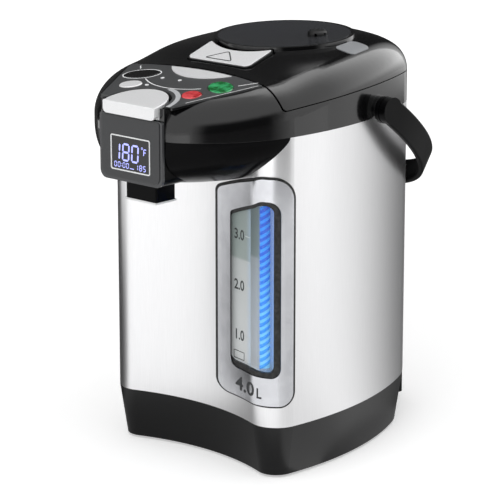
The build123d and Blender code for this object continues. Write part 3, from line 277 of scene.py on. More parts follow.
# %% [markdown]
# The push pieces are painted or tinted. The key and the lever carry a silver lacquer: tiny
# metal flakes under a clear coat, which turn a broad reflection into a soft pearly sheen. Real
# flakes are hundredths of a millimetre wide and are drawn at 0.4 mm. The green and red buttons
# are tinted translucent ABS, printed on the back. A real light inside would be noisy, so a
# cloudy tint with a matching ripple gives the same lively depth. The control panel and the
# panel round the display are a dark grey film with a satin face.

# %% Lacquer, tinted buttons and printed film
FLAKE = 0.4
TINT_CLOUD = 7
FILM_GRAIN = 0.5


def silver_lacquer():
    material, tree, surface = new_material("silver_lacquer", Metallic=0.2, Roughness=0.3,
                                           Coat_Weight=0.4, Coat_Roughness=0.08)
    flakes = pattern(tree, "ShaderNodeTexVoronoi", FLAKE)
    tone = add_node(tree, "ShaderNodeValToRGB", stops=[(0.1, "#EDEEEF"), (0.8, "#FAFAFB")],
                    Fac=flakes)
    rounded = add_node(tree, "ShaderNodeBevel", {"samples": 4}, Radius=0.5 * MM)
    plug(tree, surface, Base_Color=tone.outputs[0], Normal=rounded.outputs[0])
    return material


def tinted_button(name, deep, bright):
    return grained(name, TINT_CLOUD, [(0.38, deep), (0.62, bright)], 2.0, depth_mm=0.35,
                   strength=0.6, Roughness=0.16, IOR=1.5, Coat_Weight=0.5, Coat_Roughness=0.03)


def printed_film(name, colour, speck):
    return grained(name, FILM_GRAIN, [(0.35, colour), (0.7, speck)], 2.0, depth_mm=0.006,
                   strength=0.4, Roughness=0.38, IOR=1.5)


lacquer = silver_lacquer()
green_tint = tinted_button("green_tinted_abs", "#066A2C", "#3FB873")
red_tint = tinted_button("red_tinted_abs", "#B10F17", "#EC5257")
grey_film = printed_film("dark_grey_polyester_film", "#414243", "#4A4B4C")
panel_film = printed_film("grey_polyester_film", "#28292B", "#303133")
label_film = printed_film("silver_polyester_label", "#8D8F92", "#9A9C9F")
print("push pieces and films:", [m.name for m in (lacquer, green_tint, red_tint, grey_film,
                                                  panel_film, label_film)])

# %% [markdown]
# ## Rubber, silicone and clear parts
# Rubber and silicone have no gloss to speak of, and a little dust lightens them in patches.
# The window pane and the sight tube are clear plastics. They could be drawn as true glass,
# but an alpha lets the light reach the scale behind them without a noisy caustic.

# %% Rubber and clear plastics
DUST = 3
CLEAR_WAVE = 25


def rubbery(name, colour, roughness):
    return grained(name, DUST, [(0.4, colour), (0.8, "#3A3A3A")], 4.0, Roughness=roughness,
                   IOR=1.52)


def clear_plastic(name, colour, alpha):
    material, tree, surface = new_material(name, Base_Color=linear(colour), Roughness=0.05,
                                           IOR=1.49, Alpha=alpha, Specular_IOR_Level=0.7)
    wave = pattern(tree, "ShaderNodeTexNoise", CLEAR_WAVE, Detail=0.0)
    relief = add_node(tree, "ShaderNodeBump", Height=wave, Distance=0.05 * MM, Strength=0.4)
    plug(tree, surface, Normal=relief.outputs[0])
    return material


black_rubber = rubbery("black_epdm_rubber", "#0D0D0D", 0.6)
silicone = rubbery("grey_silicone", "#8B8A86", 0.45)
pane_clear = clear_plastic("clear_san_pane", "#C9D2CF", 0.05)
tube_clear = clear_plastic("clear_polysulfone_tube", "#8FC0F2", 0.05)
print("soft and clear:", [m.name for m in (black_rubber, silicone, pane_clear, tube_clear)])

# %% [markdown]
# ## Dress the solids
# Each solid takes one finish. The table could be by piece. It is by finish, so that it is easy
# to see which pieces of the real pot come from the same mould shop or press.

# %% Give every solid its finish
FINISHES = {
    steel: ["outer_shell"],
    plating: ["window_frame"],
    zinc: ["base_screws", "handle_pins", "hinge_pin", "lever_pin"],
    drawn_steel: ["inner_tank", "suction_pipe", "outlet_pipe", "heat_shield", "heater_plate",
                  "heater_band", "pump_motor", "thermostat"],
    contact_brass: ["inlet_pins"],
    gloss_black: ["lid_top", "collar", "lock_button"],
    spout_black: ["spout_bowl", "snout", "spout_nozzle"],
    bezel_grey: ["display_bezel"],
    strap_black: ["carry_handle"],
    satin_black: ["base_housing", "inlet_hood", "release_lever"],
    dull_black: ["bottom_plate", "inlet_socket", "latch_bar", "steam_vent"],
    grey_plastic: ["lid_inner_cover", "pump_housing", "power_board", "button_board",
                   "display_board"],
    dish_grey: ["steam_dish"],
    rim_white: ["nozzle_rim"],
    lacquer: ["dispense_key", "lever_plate", "temperature_button", "crescent_plate"],
    white_paint: ["lcd_frame", "indicator_lamps"],
    green_tint: ["unlock_button"],
    red_tint: ["timer_button"],
    grey_film: ["deck_plate"],
    panel_film: ["display_panel"],
    label_film: ["label_plate"],
    dark_lens: ["lcd_screen"],
    # frame_seal is a thin black ring round the window's frame: partly the real seal, partly
    # painted shade of the gap round the frame
    black_rubber: ["rubber_feet", "window_gasket", "frame_seal", "tube_boots"],
    silicone: ["lid_gasket", "mouth_gasket", "level_hose"],
    pane_clear: ["window_pane"],
    tube_clear: ["sight_tube"],
}


def give(piece, material):
    piece.data.materials.clear()
    piece.data.materials.append(material)


for material, names in FINISHES.items():
    for name in names:
        give(nodes[name], material)
left_over = set(nodes) - {name for names in FINISHES.values() for name in names}
print("solids that get a print of their own next:", sorted(left_over))

# %% [markdown]
# ## The scale plate
# Behind the window stands a printed plate in a tray. The upper part shows a greener grey than
# the lower part, with a sharp change at the height where the full mark ends. The lit strip
# in the corner spills a pale blue beside it, which is painted into the plate's colour as a
# painted pool of light, and a faint painted glow over the plate stands for the rest of the
# strip's light. Past the strip the tray is black. An image could carry all this. A colour
# worked out from the place itself, from its height and how far to the right it is, needs no
# file and stays sharp at any distance.

# %% Scale plate and its tray
SCALE_LOW = 88.0
SCALE_HIGH = 216.0
SCALE_CHANGE = 171.0
PAINTED_BLUE_SPILL = (52, 66, "#A9C6E6")
BLACK_EDGE = (76.5, 78.5, "#0D0F10")


def scale_plate_finish():
    """The glow is painted light from the strip beside the plate, and the pale blue near the strip
    is a painted pool of its light.
    """
    material, tree, surface = new_material("printed_scale_plate_with_painted_glow", Roughness=0.3, IOR=1.5,
                                           Emission_Strength=0.25)
    spot = add_node(tree, "ShaderNodeTexCoord")
    split = add_node(tree, "ShaderNodeSeparateXYZ", Vector=spot.outputs["Object"])
    height = add_node(tree, "ShaderNodeMapRange", Value=split.outputs["Z"],
                      From_Min=SCALE_LOW * MM, From_Max=SCALE_HIGH * MM)
    change = (SCALE_CHANGE - SCALE_LOW) / (SCALE_HIGH - SCALE_LOW)
    stops = [(0.0, "#CFD1D2"), (change - 0.01, "#BDC1C1"), (change + 0.01, "#97A29F"),
             (1.0, "#8B9694")]
    colour = add_node(tree, "ShaderNodeValToRGB", stops=stops, Fac=height.outputs[0]).outputs[0]
    # painted light: the pale blue near the strip stands for the strip's light falling on the plate
    for start, end, beside in (PAINTED_BLUE_SPILL, BLACK_EDGE):
        part = add_node(tree, "ShaderNodeMapRange", Value=split.outputs["X"],
                        From_Min=start * MM, From_Max=end * MM)
        colour = add_node(tree, "ShaderNodeMix", {"data_type": "RGBA"}, _0=part.outputs[0],
                          _6=colour, _7=linear(beside)).outputs[2]
    plug(tree, surface, Base_Color=colour, Emission_Color=colour)
    return material


scale_print = scale_plate_finish()
give(nodes["scale_plate"], scale_print)
give(nodes["gauge_tray"], scale_print)
print("scale plate changes colour at", SCALE_CHANGE, "mm")

# %% [markdown]
# ## Helpers for prints
# Prints and marks could be images on the surface, which blur when the camera comes close. Here
# they are thin meshes. A flat outline becomes a slab a tenth of a millimetre thick. `dress`
# links a finished mesh into the scene with its material and lets it ride on a body, so that a
# mark on a moving piece goes with it.

# %% Slabs from flat outlines
def dress(name, mesh, material, body):
    piece = bpy.data.objects.new(name, mesh)
    bpy.context.collection.objects.link(piece)
    give(piece, material)
    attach(piece, body)
    return piece


def slab_mesh(name, outlines, thick, put=lambda u, v, w: Vector((u, v, w))):
    """Closed slabs from flat outlines. put(u, v, w) turns a place on the flat into the frame."""
    mesh = bpy.data.meshes.new(name)
    shape = bmesh.new()
    for outline in outlines:
        low = [shape.verts.new(put(u, v, 0)) for u, v in outline]
        high = [shape.verts.new(put(u, v, thick)) for u, v in outline]
        shape.faces.new(high)
        shape.faces.new(low[::-1])
        for i in range(len(outline)):
            j = (i + 1) % len(outline)
            shape.faces.new((low[i], low[j], high[j], high[i]))
    bmesh.ops.recalc_face_normals(shape, faces=shape.faces)
    shape.to_mesh(mesh)
    shape.free()
    return mesh


print("slabs and dressing ready")

# %% [markdown]
# The outlines come from a few plain forms: a line of even width through points, an arc, an
# oval, a ring and a rectangle. A ring is given as two halves, because a slab needs an outline
# without a hole.

# %% Flat outlines
def ribbon(points, width):
    """Outline of a line of even width through flat points."""
    left, right = [], []
    for i, point in enumerate(points):
        before = points[max(i - 1, 0)]
        after = points[min(i + 1, len(points) - 1)]
        along = Vector((after[0] - before[0], after[1] - before[1])).normalized()
        side = Vector((-along.y, along.x)) * width / 2
        left.append((point[0] + side.x, point[1] + side.y))
        right.append((point[0] - side.x, point[1] - side.y))
    return left + right[::-1]


def arc(centre, radius, start, end, steps=30):
    """Flat points on an arc, angles in degrees."""
    turns = [radians(start + (end - start) * i / steps) for i in range(steps + 1)]
    return [(centre[0] + radius * cos(t), centre[1] + radius * sin(t)) for t in turns]


def oval(centre, half_long, half_wide, turn, steps=48):
    a = radians(turn)
    points = []
    for i in range(steps):
        t = 2 * pi * i / steps
        u, v = half_long * cos(t), half_wide * sin(t)
        points.append((centre[0] + u * cos(a) - v * sin(a), centre[1] + u * sin(a) + v * cos(a)))
    return points


def ring(centre, half_long, half_wide, turn, width):
    """The outlines of the two halves of a ring."""
    outside = oval(centre, half_long + width, half_wide + width, turn)
    inside = oval(centre, half_long, half_wide, turn)
    half = len(outside) // 2
    return [outside[:half + 1] + inside[:half + 1][::-1],
            outside[half:] + [outside[0], inside[0]] + inside[half:][::-1]]


def rectangle(left, low, wide, high):
    return [(left, low), (left + wide, low), (left + wide, low + high), (left, low + high)]


print("outlines ready, an oval has", len(oval((0, 0), 2, 1, 0)), "points")

# %% [markdown]
# ## Lines on the control panel
# The panel lies on a slope on the nose, and its prints follow it. The slope comes from the
# solid itself: from its highest edge at the back it falls by a known angle towards the
# front. A function puts a flat place, in millimetres from the tank's axis, on that slope.

# %% Slope of the control panel
DECK_TILT = radians(9.7)
deck_low, deck_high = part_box("deck_plate")


def on_panel(x, y, lift=0.0):
    spot = place(x, y, 0)
    rise = deck_high.z + tan(DECK_TILT) * (spot.y - deck_high.y)
    across = Vector((0, -sin(DECK_TILT), cos(DECK_TILT)))
    return Vector((spot.x, spot.y, rise)) + across * lift * MM


print("panel lies between z =", round(deck_low.z / MM, 1), "and", round(deck_high.z / MM, 1), "mm")

# %% [markdown]
# Thin white lines are screen printed on the panel. A long arc joins the left and right buttons
# in front of the others, a short stroke leads from the right button to the panel's edge,
# another stands behind the left button, and a ring goes round the left button. A broad light
# grey arc follows the key. A fine white line down the panel's right edge is no print: it is a
# painted highlight of that edge, made as a slab like the prints.

# %% Printed lines
LINE = 0.9
FINE_LINE = 0.6
PRINT = 0.08
LEFT_BUTTON = (-42.0, -127.0)
LEFT_BUTTON_TURN = 32
key_print = printed_film("light_grey_print", "#B4B6B8", "#C4C6C8")

outlines = [ribbon(arc((0, -92), 52.5, 234, 304), LINE),
            ribbon([(52.5, -119.0), (62.5, -107.6)], LINE),
            ribbon([(-53.0, -117.5), (-58.0, -112.4)], LINE),
            # painted highlight: a fine white line along the panel's right edge, where the edge
            # catches light
            ribbon([(41.6, -165.5), (67.4, -112.6)], FINE_LINE)]
outlines += ring(LEFT_BUTTON, 14.9, 9.9, LEFT_BUTTON_TURN, LINE)
dress("panel_prints_and_edge_highlight", slab_mesh("panel_prints_and_edge_highlight", outlines, PRINT, on_panel), white_paint, "pot")
broad_arc = ribbon(arc((0, -180.0), 34.6, 4, 80), 3.8)
dress("key_arc", slab_mesh("key_arc", [broad_arc], PRINT, on_panel), key_print, "pot")
print("lines printed on the panel:", len(outlines) + 1, "outlines")

# %% [markdown]
# ## The display
# A liquid crystal window lights its figures from behind. Figures of this kind are built from
# seven bars, so one table says which bars each figure lights, and one loop draws them. Each
# bar is a slim hexagon with a little gap to its neighbours, and all lean a little.

# %% Seven-bar figures
BARS = {"0": "abcdef", "1": "bc", "5": "acdfg", "8": "abcdefg"}
BAR_ENDS = {"a": (0, 1, 1, 1), "g": (0, 0.5, 1, 0.5), "d": (0, 0, 1, 0), "f": (0, 0.5, 0, 1),
            "b": (1, 0.5, 1, 1), "e": (0, 0, 0, 0.5), "c": (1, 0, 1, 0.5)}
BAR_GAP = 0.18
LEAN = 0.06


def bar(x0, z0, x1, z1, thick):
    """Slim hexagon between two ends."""
    along = Vector((x1 - x0, z1 - z0)).normalized()
    side = Vector((-along.y, along.x)) * thick / 2
    a, b = Vector((x0, z0)), Vector((x1, z1))
    nib = along * thick / 2
    return [a, a + nib + side, b - nib + side, b, b - nib - side, a + nib - side]


def figure(sign, left, low, wide, high, thick):
    """Outlines of one figure with its lower left corner at (left, low)."""
    outlines = []
    for name in BARS[sign]:
        x0, z0, x1, z1 = BAR_ENDS[name]
        gap = thick * BAR_GAP
        gap_x, gap_z = (gap, 0) if z0 == z1 else (0, gap)
        hexagon = bar(x0 * wide + gap_x, z0 * high + gap_z, x1 * wide - gap_x, z1 * high - gap_z,
                      thick)
        outlines.append([(left + p.x + LEAN * p.y, low + p.y) for p in hexagon])
    return outlines


print("figures that can be drawn:", "".join(BARS))

# %% [markdown]
# The window shows the water's temperature in large figures with its unit, and the clock and
# the set temperature in a row of small ones below. The figures stand a hair in front of the
# screen and give off a pale violet light of their own, as lit crystal does.

# %% Figures and letters on the display
screen_low, screen_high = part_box("lcd_screen")
SCREEN_GAP = 0.05
FIGURE_THICK = 0.05
DOT = 0.6
ROWS = (("180", (-18.6, -8.6, 1.2), 254.4, 6.4, 12.6, 1.5),
        ("0000", (-17.4, -13.6, -8.4, -4.6), 248.6, 2.3, 3.8, 0.62),
        ("185", (5.0, 9.4, 13.4), 248.6, 2.4, 4.0, 0.66))
LETTER_F = ((14.0, 260.6, 14.3, 265.6), (14.3, 265.6, 17.0, 265.6), (14.15, 263.3, 16.4, 263.3))


def on_screen(x, z, lift=0.0):
    return Vector((x * MM, screen_low.y - (SCREEN_GAP + lift) * MM, z * MM))


def display_outlines():
    """The rows of figures, the colon, the dash, and the degree sign with its letter."""
    outlines = []
    for signs, lefts, low, wide, high, thick in ROWS:
        for sign, left in zip(signs, lefts):
            outlines += figure(sign, left, low, wide, high, thick)
    outlines += [rectangle(-9.75, z, DOT, DOT) for z in (249.4, 251.0)]
    outlines.append(rectangle(-0.8, 248.5, 4.4, DOT))
    outlines += ring((12.4, 266.2), 0.55, 0.55, 0, 0.4)
    return outlines + [bar(*ends, 0.8) for ends in LETTER_F]


lit_crystal, _, _ = new_material("lit_liquid_crystal", Base_Color=linear("#8E93E8"), Roughness=0.4,
                                 Emission_Color=linear("#B9BEFF"), Emission_Strength=0.9)
figures = slab_mesh("display_figures", display_outlines(), FIGURE_THICK, on_screen)
dress("display_figures", figures, lit_crystal, "pot")
print("screen with its figures, in mm:", [round(v / MM, 1) for v in screen_high - screen_low])

# %% [markdown]
# ## Numbers on the water scale
# The scale's numbers are printed on a plate that curves round the pot's front. A flat text
# mesh is set up in front of the plate and each of its points is then dropped onto the plate
# along one direction, the way a screen print is pressed on. A shrinkwrap modifier could do
# it too, but a ray from each point lands exactly in front of where it started, so the letters
# aren't pulled out of shape.

# %% Print on a curved surface
RAY_START = 0.05
INK_LIFT = 0.12
FRONT_RIGHT = Vector((1, 0, 0))
CORNER_RIGHT = Vector((cos(radians(45)), sin(radians(45)), 0))
UP = Vector((0, 0, 1))


def surface_of(name):
    piece = nodes[name]
    points = [vertex.co.copy() for vertex in piece.data.vertices]
    faces = [list(face.vertices) for face in piece.data.polygons]
    return BVHTree.FromPolygons(points, faces)


def finer(mesh, longest):
    """Cuts long edges, so that a print can follow a curve."""
    shape = bmesh.new()
    shape.from_mesh(mesh)
    for _ in range(4):
        long_edges = [edge for edge in shape.edges if edge.calc_length() > longest]
        if not long_edges:
            break
        bmesh.ops.subdivide_edges(shape, edges=long_edges, cuts=1)
    bmesh.ops.triangulate(shape, faces=shape.faces)
    shape.to_mesh(mesh)
    shape.free()


def press_on(mesh, surface, middle, right, up):
    """Lays a flat mesh, in mm about its own middle, on a surface. Returns the count of misses."""
    inward = up.cross(right).normalized()
    missed = 0
    for vertex in mesh.vertices:
        u, v, w = vertex.co
        start = middle + (right * u + up * v) * MM - inward * RAY_START
        hit = surface.ray_cast(start, inward)[0]
        if hit is None:
            missed += 1
            hit = start + inward * RAY_START
        vertex.co = hit - inward * (INK_LIFT + w) * MM
    return missed


print("prints can follow a curve")

# %% [markdown]
# Text comes from Blender's own plain sans font as a curve. It is made heavier by an offset, given
# a thickness, and turned into a mesh before it is laid on the surface. The printed numbers are
# a little narrower than the font's, and the capacity on the frame much narrower, so the mesh
# is squeezed sideways first.

# %% Words as meshes
CAPITAL = 0.72
INK_THICK = 0.12


def text_mesh(words, height, bold):
    """Text about its own middle, its capitals' height and its added weight in mm."""
    curve = bpy.data.curves.new(words, "FONT")
    curve.body = words
    curve.size = height / CAPITAL
    curve.align_x = "CENTER"
    curve.align_y = "CENTER"
    curve.offset = bold
    curve.extrude = INK_THICK / 2
    curve.resolution_u = 6
    holder = bpy.data.objects.new(words, curve)
    mesh = bpy.data.meshes.new_from_object(holder)
    bpy.data.objects.remove(holder)
    bpy.data.curves.remove(curve)
    return mesh


def squeeze(mesh, width, right=0.0, up=0.0):
    """Narrows a flat mesh to a share of its width and then moves it, in mm."""
    for vertex in mesh.vertices:
        vertex.co.x = vertex.co.x * width + right
        vertex.co.y += up


print("words can be set")

# %% [markdown]
# Each number stands a litre above the one below it. The capacity stands on the plated frame
# round the window, across the pot's rounded corner, so it is pressed on from the corner's
# own direction, half way between the front and the right side.

# %% Scale numbers and the capacity
scale_ink = moulded("dark_grey_scale_ink", "#232628", 0.5, edge_mm=0.05)
frame_ink = moulded("charcoal_frame_ink", "#2E3032", 0.45, edge_mm=0.05)
plate_surface = surface_of("scale_plate")
frame_surface = surface_of("window_frame")
NUMBER_HEIGHTS = {"1.0": 108.8, "2.0": 149.4, "3.0": 190.1}
CAPACITY_SPOT = place(60.9, -118.5, 71.3)

missed = 0
for words, z in NUMBER_HEIGHTS.items():
    mesh = text_mesh(words, 8.3, 0.2)
    squeeze(mesh, 0.95)
    finer(mesh, 3.0)
    missed += press_on(mesh, plate_surface, place(42.6, -111, z), FRONT_RIGHT, UP)
    dress("scale_" + words.replace(".", "_"), mesh, scale_ink, "pot")
for name, words, height, bold, right, up in (("capacity_number", "4.0", 10.8, 0.34, -1.4, 0.0),
                                             ("capacity_unit", "L", 8.2, 0.22, 8.6, -1.4)):
    mesh = text_mesh(words, height, bold)
    squeeze(mesh, 0.72, right, up)
    finer(mesh, 2.5)
    missed += press_on(mesh, frame_surface, CAPACITY_SPOT, CORNER_RIGHT, UP)
    dress(name, mesh, frame_ink, "pot")
print("numbers pressed onto the plate and the frame, points that missed:", missed)

# %% [markdown]
# The lever that opens the lid carries a triangle, the common sign for lifting. It is a line
# round three rounded corners, pressed down onto the sloping plate, and it rides on the lever.
# The line is drawn as two halves, so that neither outline closes on itself.

# %% Triangle on the lever
def rounded_corners(corners, radius, steps=6):
    """Closed outline with an arc-like turn at each corner."""
    points = []
    for i, corner in enumerate(corners):
        before, after = Vector(corners[i - 1]), Vector(corners[(i + 1) % len(corners)])
        corner = Vector(corner)
        start = corner + (before - corner).normalized() * radius
        end = corner + (after - corner).normalized() * radius
        for k in range(steps + 1):
            t = k / steps
            points.append(start * (1 - t) ** 2 + corner * 2 * t * (1 - t) + end * t ** 2)
    return points


triangle = rounded_corners([(-14.0, -6.0), (14.0, -6.0), (0.0, 7.2)], 3.0)
half = len(triangle) // 2
halves = [ribbon(triangle[:half + 1], LINE), ribbon(triangle[half:] + triangle[:1], LINE)]
lever_mark = slab_mesh("lever_triangle", halves, PRINT)
missed = press_on(lever_mark, surface_of("lever_plate"), place(-2.0, -77.0, 345),
                  Vector((1, 0, 0)), Vector((0, 1, 0)))
dress("lever_triangle", lever_mark, scale_ink, "lever")
print("triangle rides on the lever, points that missed:", missed)

# %% [markdown]
# A white tick stands at every half litre, right of the numbers. The ticks are all alike and
# evenly spaced, which is work for Geometry Nodes: a line of points, one small bar set on each
# point, and the result made real. The sizes are inputs of the tree, so that the same tree
# would serve a pot with another scale. Three helpers serve this tree and the next: one opens
# a tree with its inputs, one closes it, and one runs it and keeps a plain mesh.

# %% Geometry Nodes: a tree, its inputs and its result
def new_tree(name, **inputs):
    """A geometry tree with named inputs. Returns the tree and the sockets that carry them."""
    tree = bpy.data.node_groups.new(name, "GeometryNodeTree")
    kinds = {int: "NodeSocketInt", float: "NodeSocketFloat",
             bpy.types.Material: "NodeSocketMaterial"}
    for label, value in inputs.items():
        socket = tree.interface.new_socket(label, in_out="INPUT", socket_type=kinds[type(value)])
        if not isinstance(value, bpy.types.Material):
            socket.default_value = value
    tree.interface.new_socket("Geometry", in_out="OUTPUT", socket_type="NodeSocketGeometry")
    given = tree.nodes.new("NodeGroupInput").outputs
    return tree, given


def finish_tree(tree, points, shape, finish):
    """Sets the shape on every point, makes the copies real and gives them their finish."""
    copies = add_node(tree, "GeometryNodeInstanceOnPoints", Points=points, Instance=shape)
    real = add_node(tree, "GeometryNodeRealizeInstances", Geometry=copies.outputs[0])
    done = add_node(tree, "GeometryNodeSetMaterial", Geometry=real.outputs[0], Material=finish)
    add_node(tree, "NodeGroupOutput", Geometry=done.outputs[0])


def grow(name, tree, **values):
    """Runs a tree once with these values and keeps the result as a plain mesh."""
    holder = bpy.data.objects.new(name, bpy.data.meshes.new(name))
    bpy.context.collection.objects.link(holder)
    modifier = holder.modifiers.new(name, "NODES")
    modifier.node_group = tree
    for item in tree.interface.items_tree:
        if item.in_out == "INPUT":
            modifier[item.identifier] = values[item.name]
    ready = holder.evaluated_get(bpy.context.evaluated_depsgraph_get())
    mesh = bpy.data.meshes.new_from_object(ready)
    holder.modifiers.clear()
    bpy.data.objects.remove(holder)
    mesh.name = name
    return mesh


print("helpers for geometry trees ready")

# %% [markdown]
# The tree for the ticks is a line of points, one pitch apart, with a small bar on each. The bar
# has nine points along its length, because a print can only follow a curve at its points.

# %% Ticks on the scale
LITRE = 40.65
POINTS_ALONG = 9
tick_white = moulded("pale_scale_ink", "#DDE2E1", 0.5, edge_mm=0.05)
TICKS = {"Count": 5, "Pitch": LITRE / 2, "Length": 7.0, "Width": 0.7, "Thickness": PRINT,
         "Finish": tick_white}


def tick_tree(sizes):
    tree, given = new_tree("even_ticks", **sizes)
    step = add_node(tree, "ShaderNodeCombineXYZ", Y=given["Pitch"])
    points = add_node(tree, "GeometryNodeMeshLine", Count=given["Count"], Offset=step.outputs[0])
    size = add_node(tree, "ShaderNodeCombineXYZ", X=given["Length"], Y=given["Width"],
                    Z=given["Thickness"])
    shape = add_node(tree, "GeometryNodeMeshCube", Size=size.outputs[0], _1=POINTS_ALONG)
    finish_tree(tree, points.outputs[0], shape.outputs[0], given["Finish"])
    return tree


ticks = grow("scale_ticks", tick_tree(TICKS), **TICKS)
missed = press_on(ticks, plate_surface, place(54.3, -115, 109.5), FRONT_RIGHT, UP)
dress("scale_ticks", ticks, tick_white, "pot")
print("ticks:", TICKS["Count"], "one every", TICKS["Pitch"], "mm, points that missed:", missed)

# %% [markdown]
# A thin box below the last number frames the refill mark. Four short lines make it, each a slab
# of its own, pressed onto the same plate.

# %% Box for the refill mark
corners = rectangle(-6.8, -3.1, 13.6, 6.2)
sides = [ribbon([corners[i], corners[(i + 1) % 4]], FINE_LINE) for i in range(4)]
refill_box = slab_mesh("refill_box", sides, PRINT)
finer(refill_box, 3.0)
missed = press_on(refill_box, plate_surface, place(42.4, -111, 92.6), FRONT_RIGHT, UP)
dress("refill_box", refill_box, scale_ink, "pot")
print("refill box printed, points that missed:", missed)

# %% [markdown]
# ## The level strip
# In the corner of the window stands a clear tube with a lit acrylic rod in it. The light comes
# from above, so the blue is deep at the top and paler towards the bottom. A lamp inside would
# be noisy. A ramp by height gives the plastic its colour and the same colour as its glow.

# %% Light that changes with the height
STRIP_LOW = 89.0
STRIP_HIGH = 217.0


def strip_light(name, *colours):
    """Lit plastic with a colour at the foot, at 0.4 and 0.7 of its height, and at the top."""
    material, tree, surface = new_material(name, Roughness=0.4, Specular_IOR_Level=0.1,
                                           Emission_Strength=0.6)
    spot = add_node(tree, "ShaderNodeTexCoord")
    split = add_node(tree, "ShaderNodeSeparateXYZ", Vector=spot.outputs["Object"])
    height = add_node(tree, "ShaderNodeMapRange", Value=split.outputs["Z"],
                      From_Min=STRIP_LOW * MM, From_Max=STRIP_HIGH * MM)
    colour = add_node(tree, "ShaderNodeValToRGB", stops=list(zip((0.0, 0.4, 0.7, 1.0), colours)),
                      Fac=height.outputs[0]).outputs[0]
    plug(tree, surface, Base_Color=colour, Emission_Color=colour)
    return material


pale_rod = strip_light("pale_lit_acrylic_rod", "#7CCBFF", "#5FBCFA", "#2E98F4", "#1480EC")
deep_band = strip_light("deep_blue_lit_band", "#2E9CF6", "#1284F0", "#005CDC", "#0048CC")
print("lit plastics:", pale_rod.name, "and", deep_band.name)

# %% [markdown]
# Slanted bands run round the rod. Painted ones would lie flat and lose their slant at the
# rod's sides, so a second tree makes them as real rings: one ring with a flat section is
# sheared, so that it climbs across the rod and still lies on it, turned to face the corner,
# and repeated up the rod.

# %% Rod and bands
ROD_RADIUS = 3.95
ROD_SIDES = 40
FIRST_BAND = STRIP_LOW + 2.8
BANDS = {"Count": 23, "Pitch": 5.65, "Radius": ROD_RADIUS, "Slant": 0.66, "Turn": radians(42.0),
         "Width": 2.9, "Thickness": 0.4, "Finish": deep_band}


def band_tree(sizes):
    tree, given = new_tree("slanted_bands", **sizes)
    circle = add_node(tree, "GeometryNodeCurvePrimitiveCircle", Resolution=ROD_SIDES,
                      Radius=given["Radius"])
    section = add_node(tree, "GeometryNodeCurvePrimitiveQuadrilateral", Width=given["Thickness"],
                       Height=given["Width"])
    band = add_node(tree, "GeometryNodeCurveToMesh", Curve=circle.outputs[0],
                    Profile_Curve=section.outputs[0])
    spot = add_node(tree, "GeometryNodeInputPosition")
    across = add_node(tree, "ShaderNodeSeparateXYZ", Vector=spot.outputs[0])
    climb = add_node(tree, "ShaderNodeMath", {"operation": "MULTIPLY"}, _0=across.outputs["X"],
                     _1=given["Slant"])
    shift = add_node(tree, "ShaderNodeCombineXYZ", Z=climb.outputs[0])
    sheared = add_node(tree, "GeometryNodeSetPosition", Geometry=band.outputs[0],
                       Offset=shift.outputs[0])
    angle = add_node(tree, "ShaderNodeCombineXYZ", Z=given["Turn"])
    turned = add_node(tree, "GeometryNodeTransform", Geometry=sheared.outputs[0],
                      Rotation=angle.outputs[0])
    step = add_node(tree, "ShaderNodeCombineXYZ", Z=given["Pitch"])
    points = add_node(tree, "GeometryNodeMeshLine", Count=given["Count"], Offset=step.outputs[0])
    finish_tree(tree, points.outputs[0], turned.outputs[0], given["Finish"])
    return tree


tube_low, tube_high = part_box("sight_tube")
tube_middle = (tube_low + tube_high) / 2
bands = grow("strip_bands", band_tree(BANDS), **BANDS)
for vertex in bands.vertices:
    vertex.co = Vector((tube_middle.x, tube_middle.y, FIRST_BAND * MM)) + vertex.co * MM
dress("strip_bands", bands, deep_band, "pot")
foot = (tube_middle.x / MM, tube_middle.y / MM)
rod = slab_mesh("level_strip", [oval(foot, ROD_RADIUS, ROD_RADIUS, 0, ROD_SIDES)],
                STRIP_HIGH - STRIP_LOW, lambda u, v, w: Vector((u, v, STRIP_LOW + w)) * MM)
dress("level_strip", rod, pale_rod, "pot")
print("rod of", STRIP_HIGH - STRIP_LOW, "mm with a band every", BANDS["Pitch"], "mm")

# %% [markdown]
# ## Light
# The pot stands on a white sweep. It could be made white with more light, but that would bleach
# the pot too. So to the camera, and in every mirror and glass, the sweep adds a light of its
# own that brings it to white. What it lends the pot is only what lamps and sky bring to it, so
# the pot keeps its colours and its soft shadow. The view is set to Standard, which shows a
# colour as it is written.

# %% White sweep and world
SWEEP_GLOW = 0.43
FAR_GLOW = 0.75
SKY_LEVEL = 0.5
FLOOR_HALF = 6.0
FLOOR_Z = -0.0002


def seen_directly(tree):
    """1 for what the camera, a mirror or a glass sees, 0 for light that only falls on things."""
    path = add_node(tree, "ShaderNodeLightPath")
    seen = path.outputs["Is Camera Ray"]
    for name in ("Is Glossy Ray", "Is Transmission Ray"):
        seen = add_node(tree, "ShaderNodeMath", {"operation": "MAXIMUM"}, _0=seen,
                        _1=path.outputs[name]).outputs[0]
    return seen


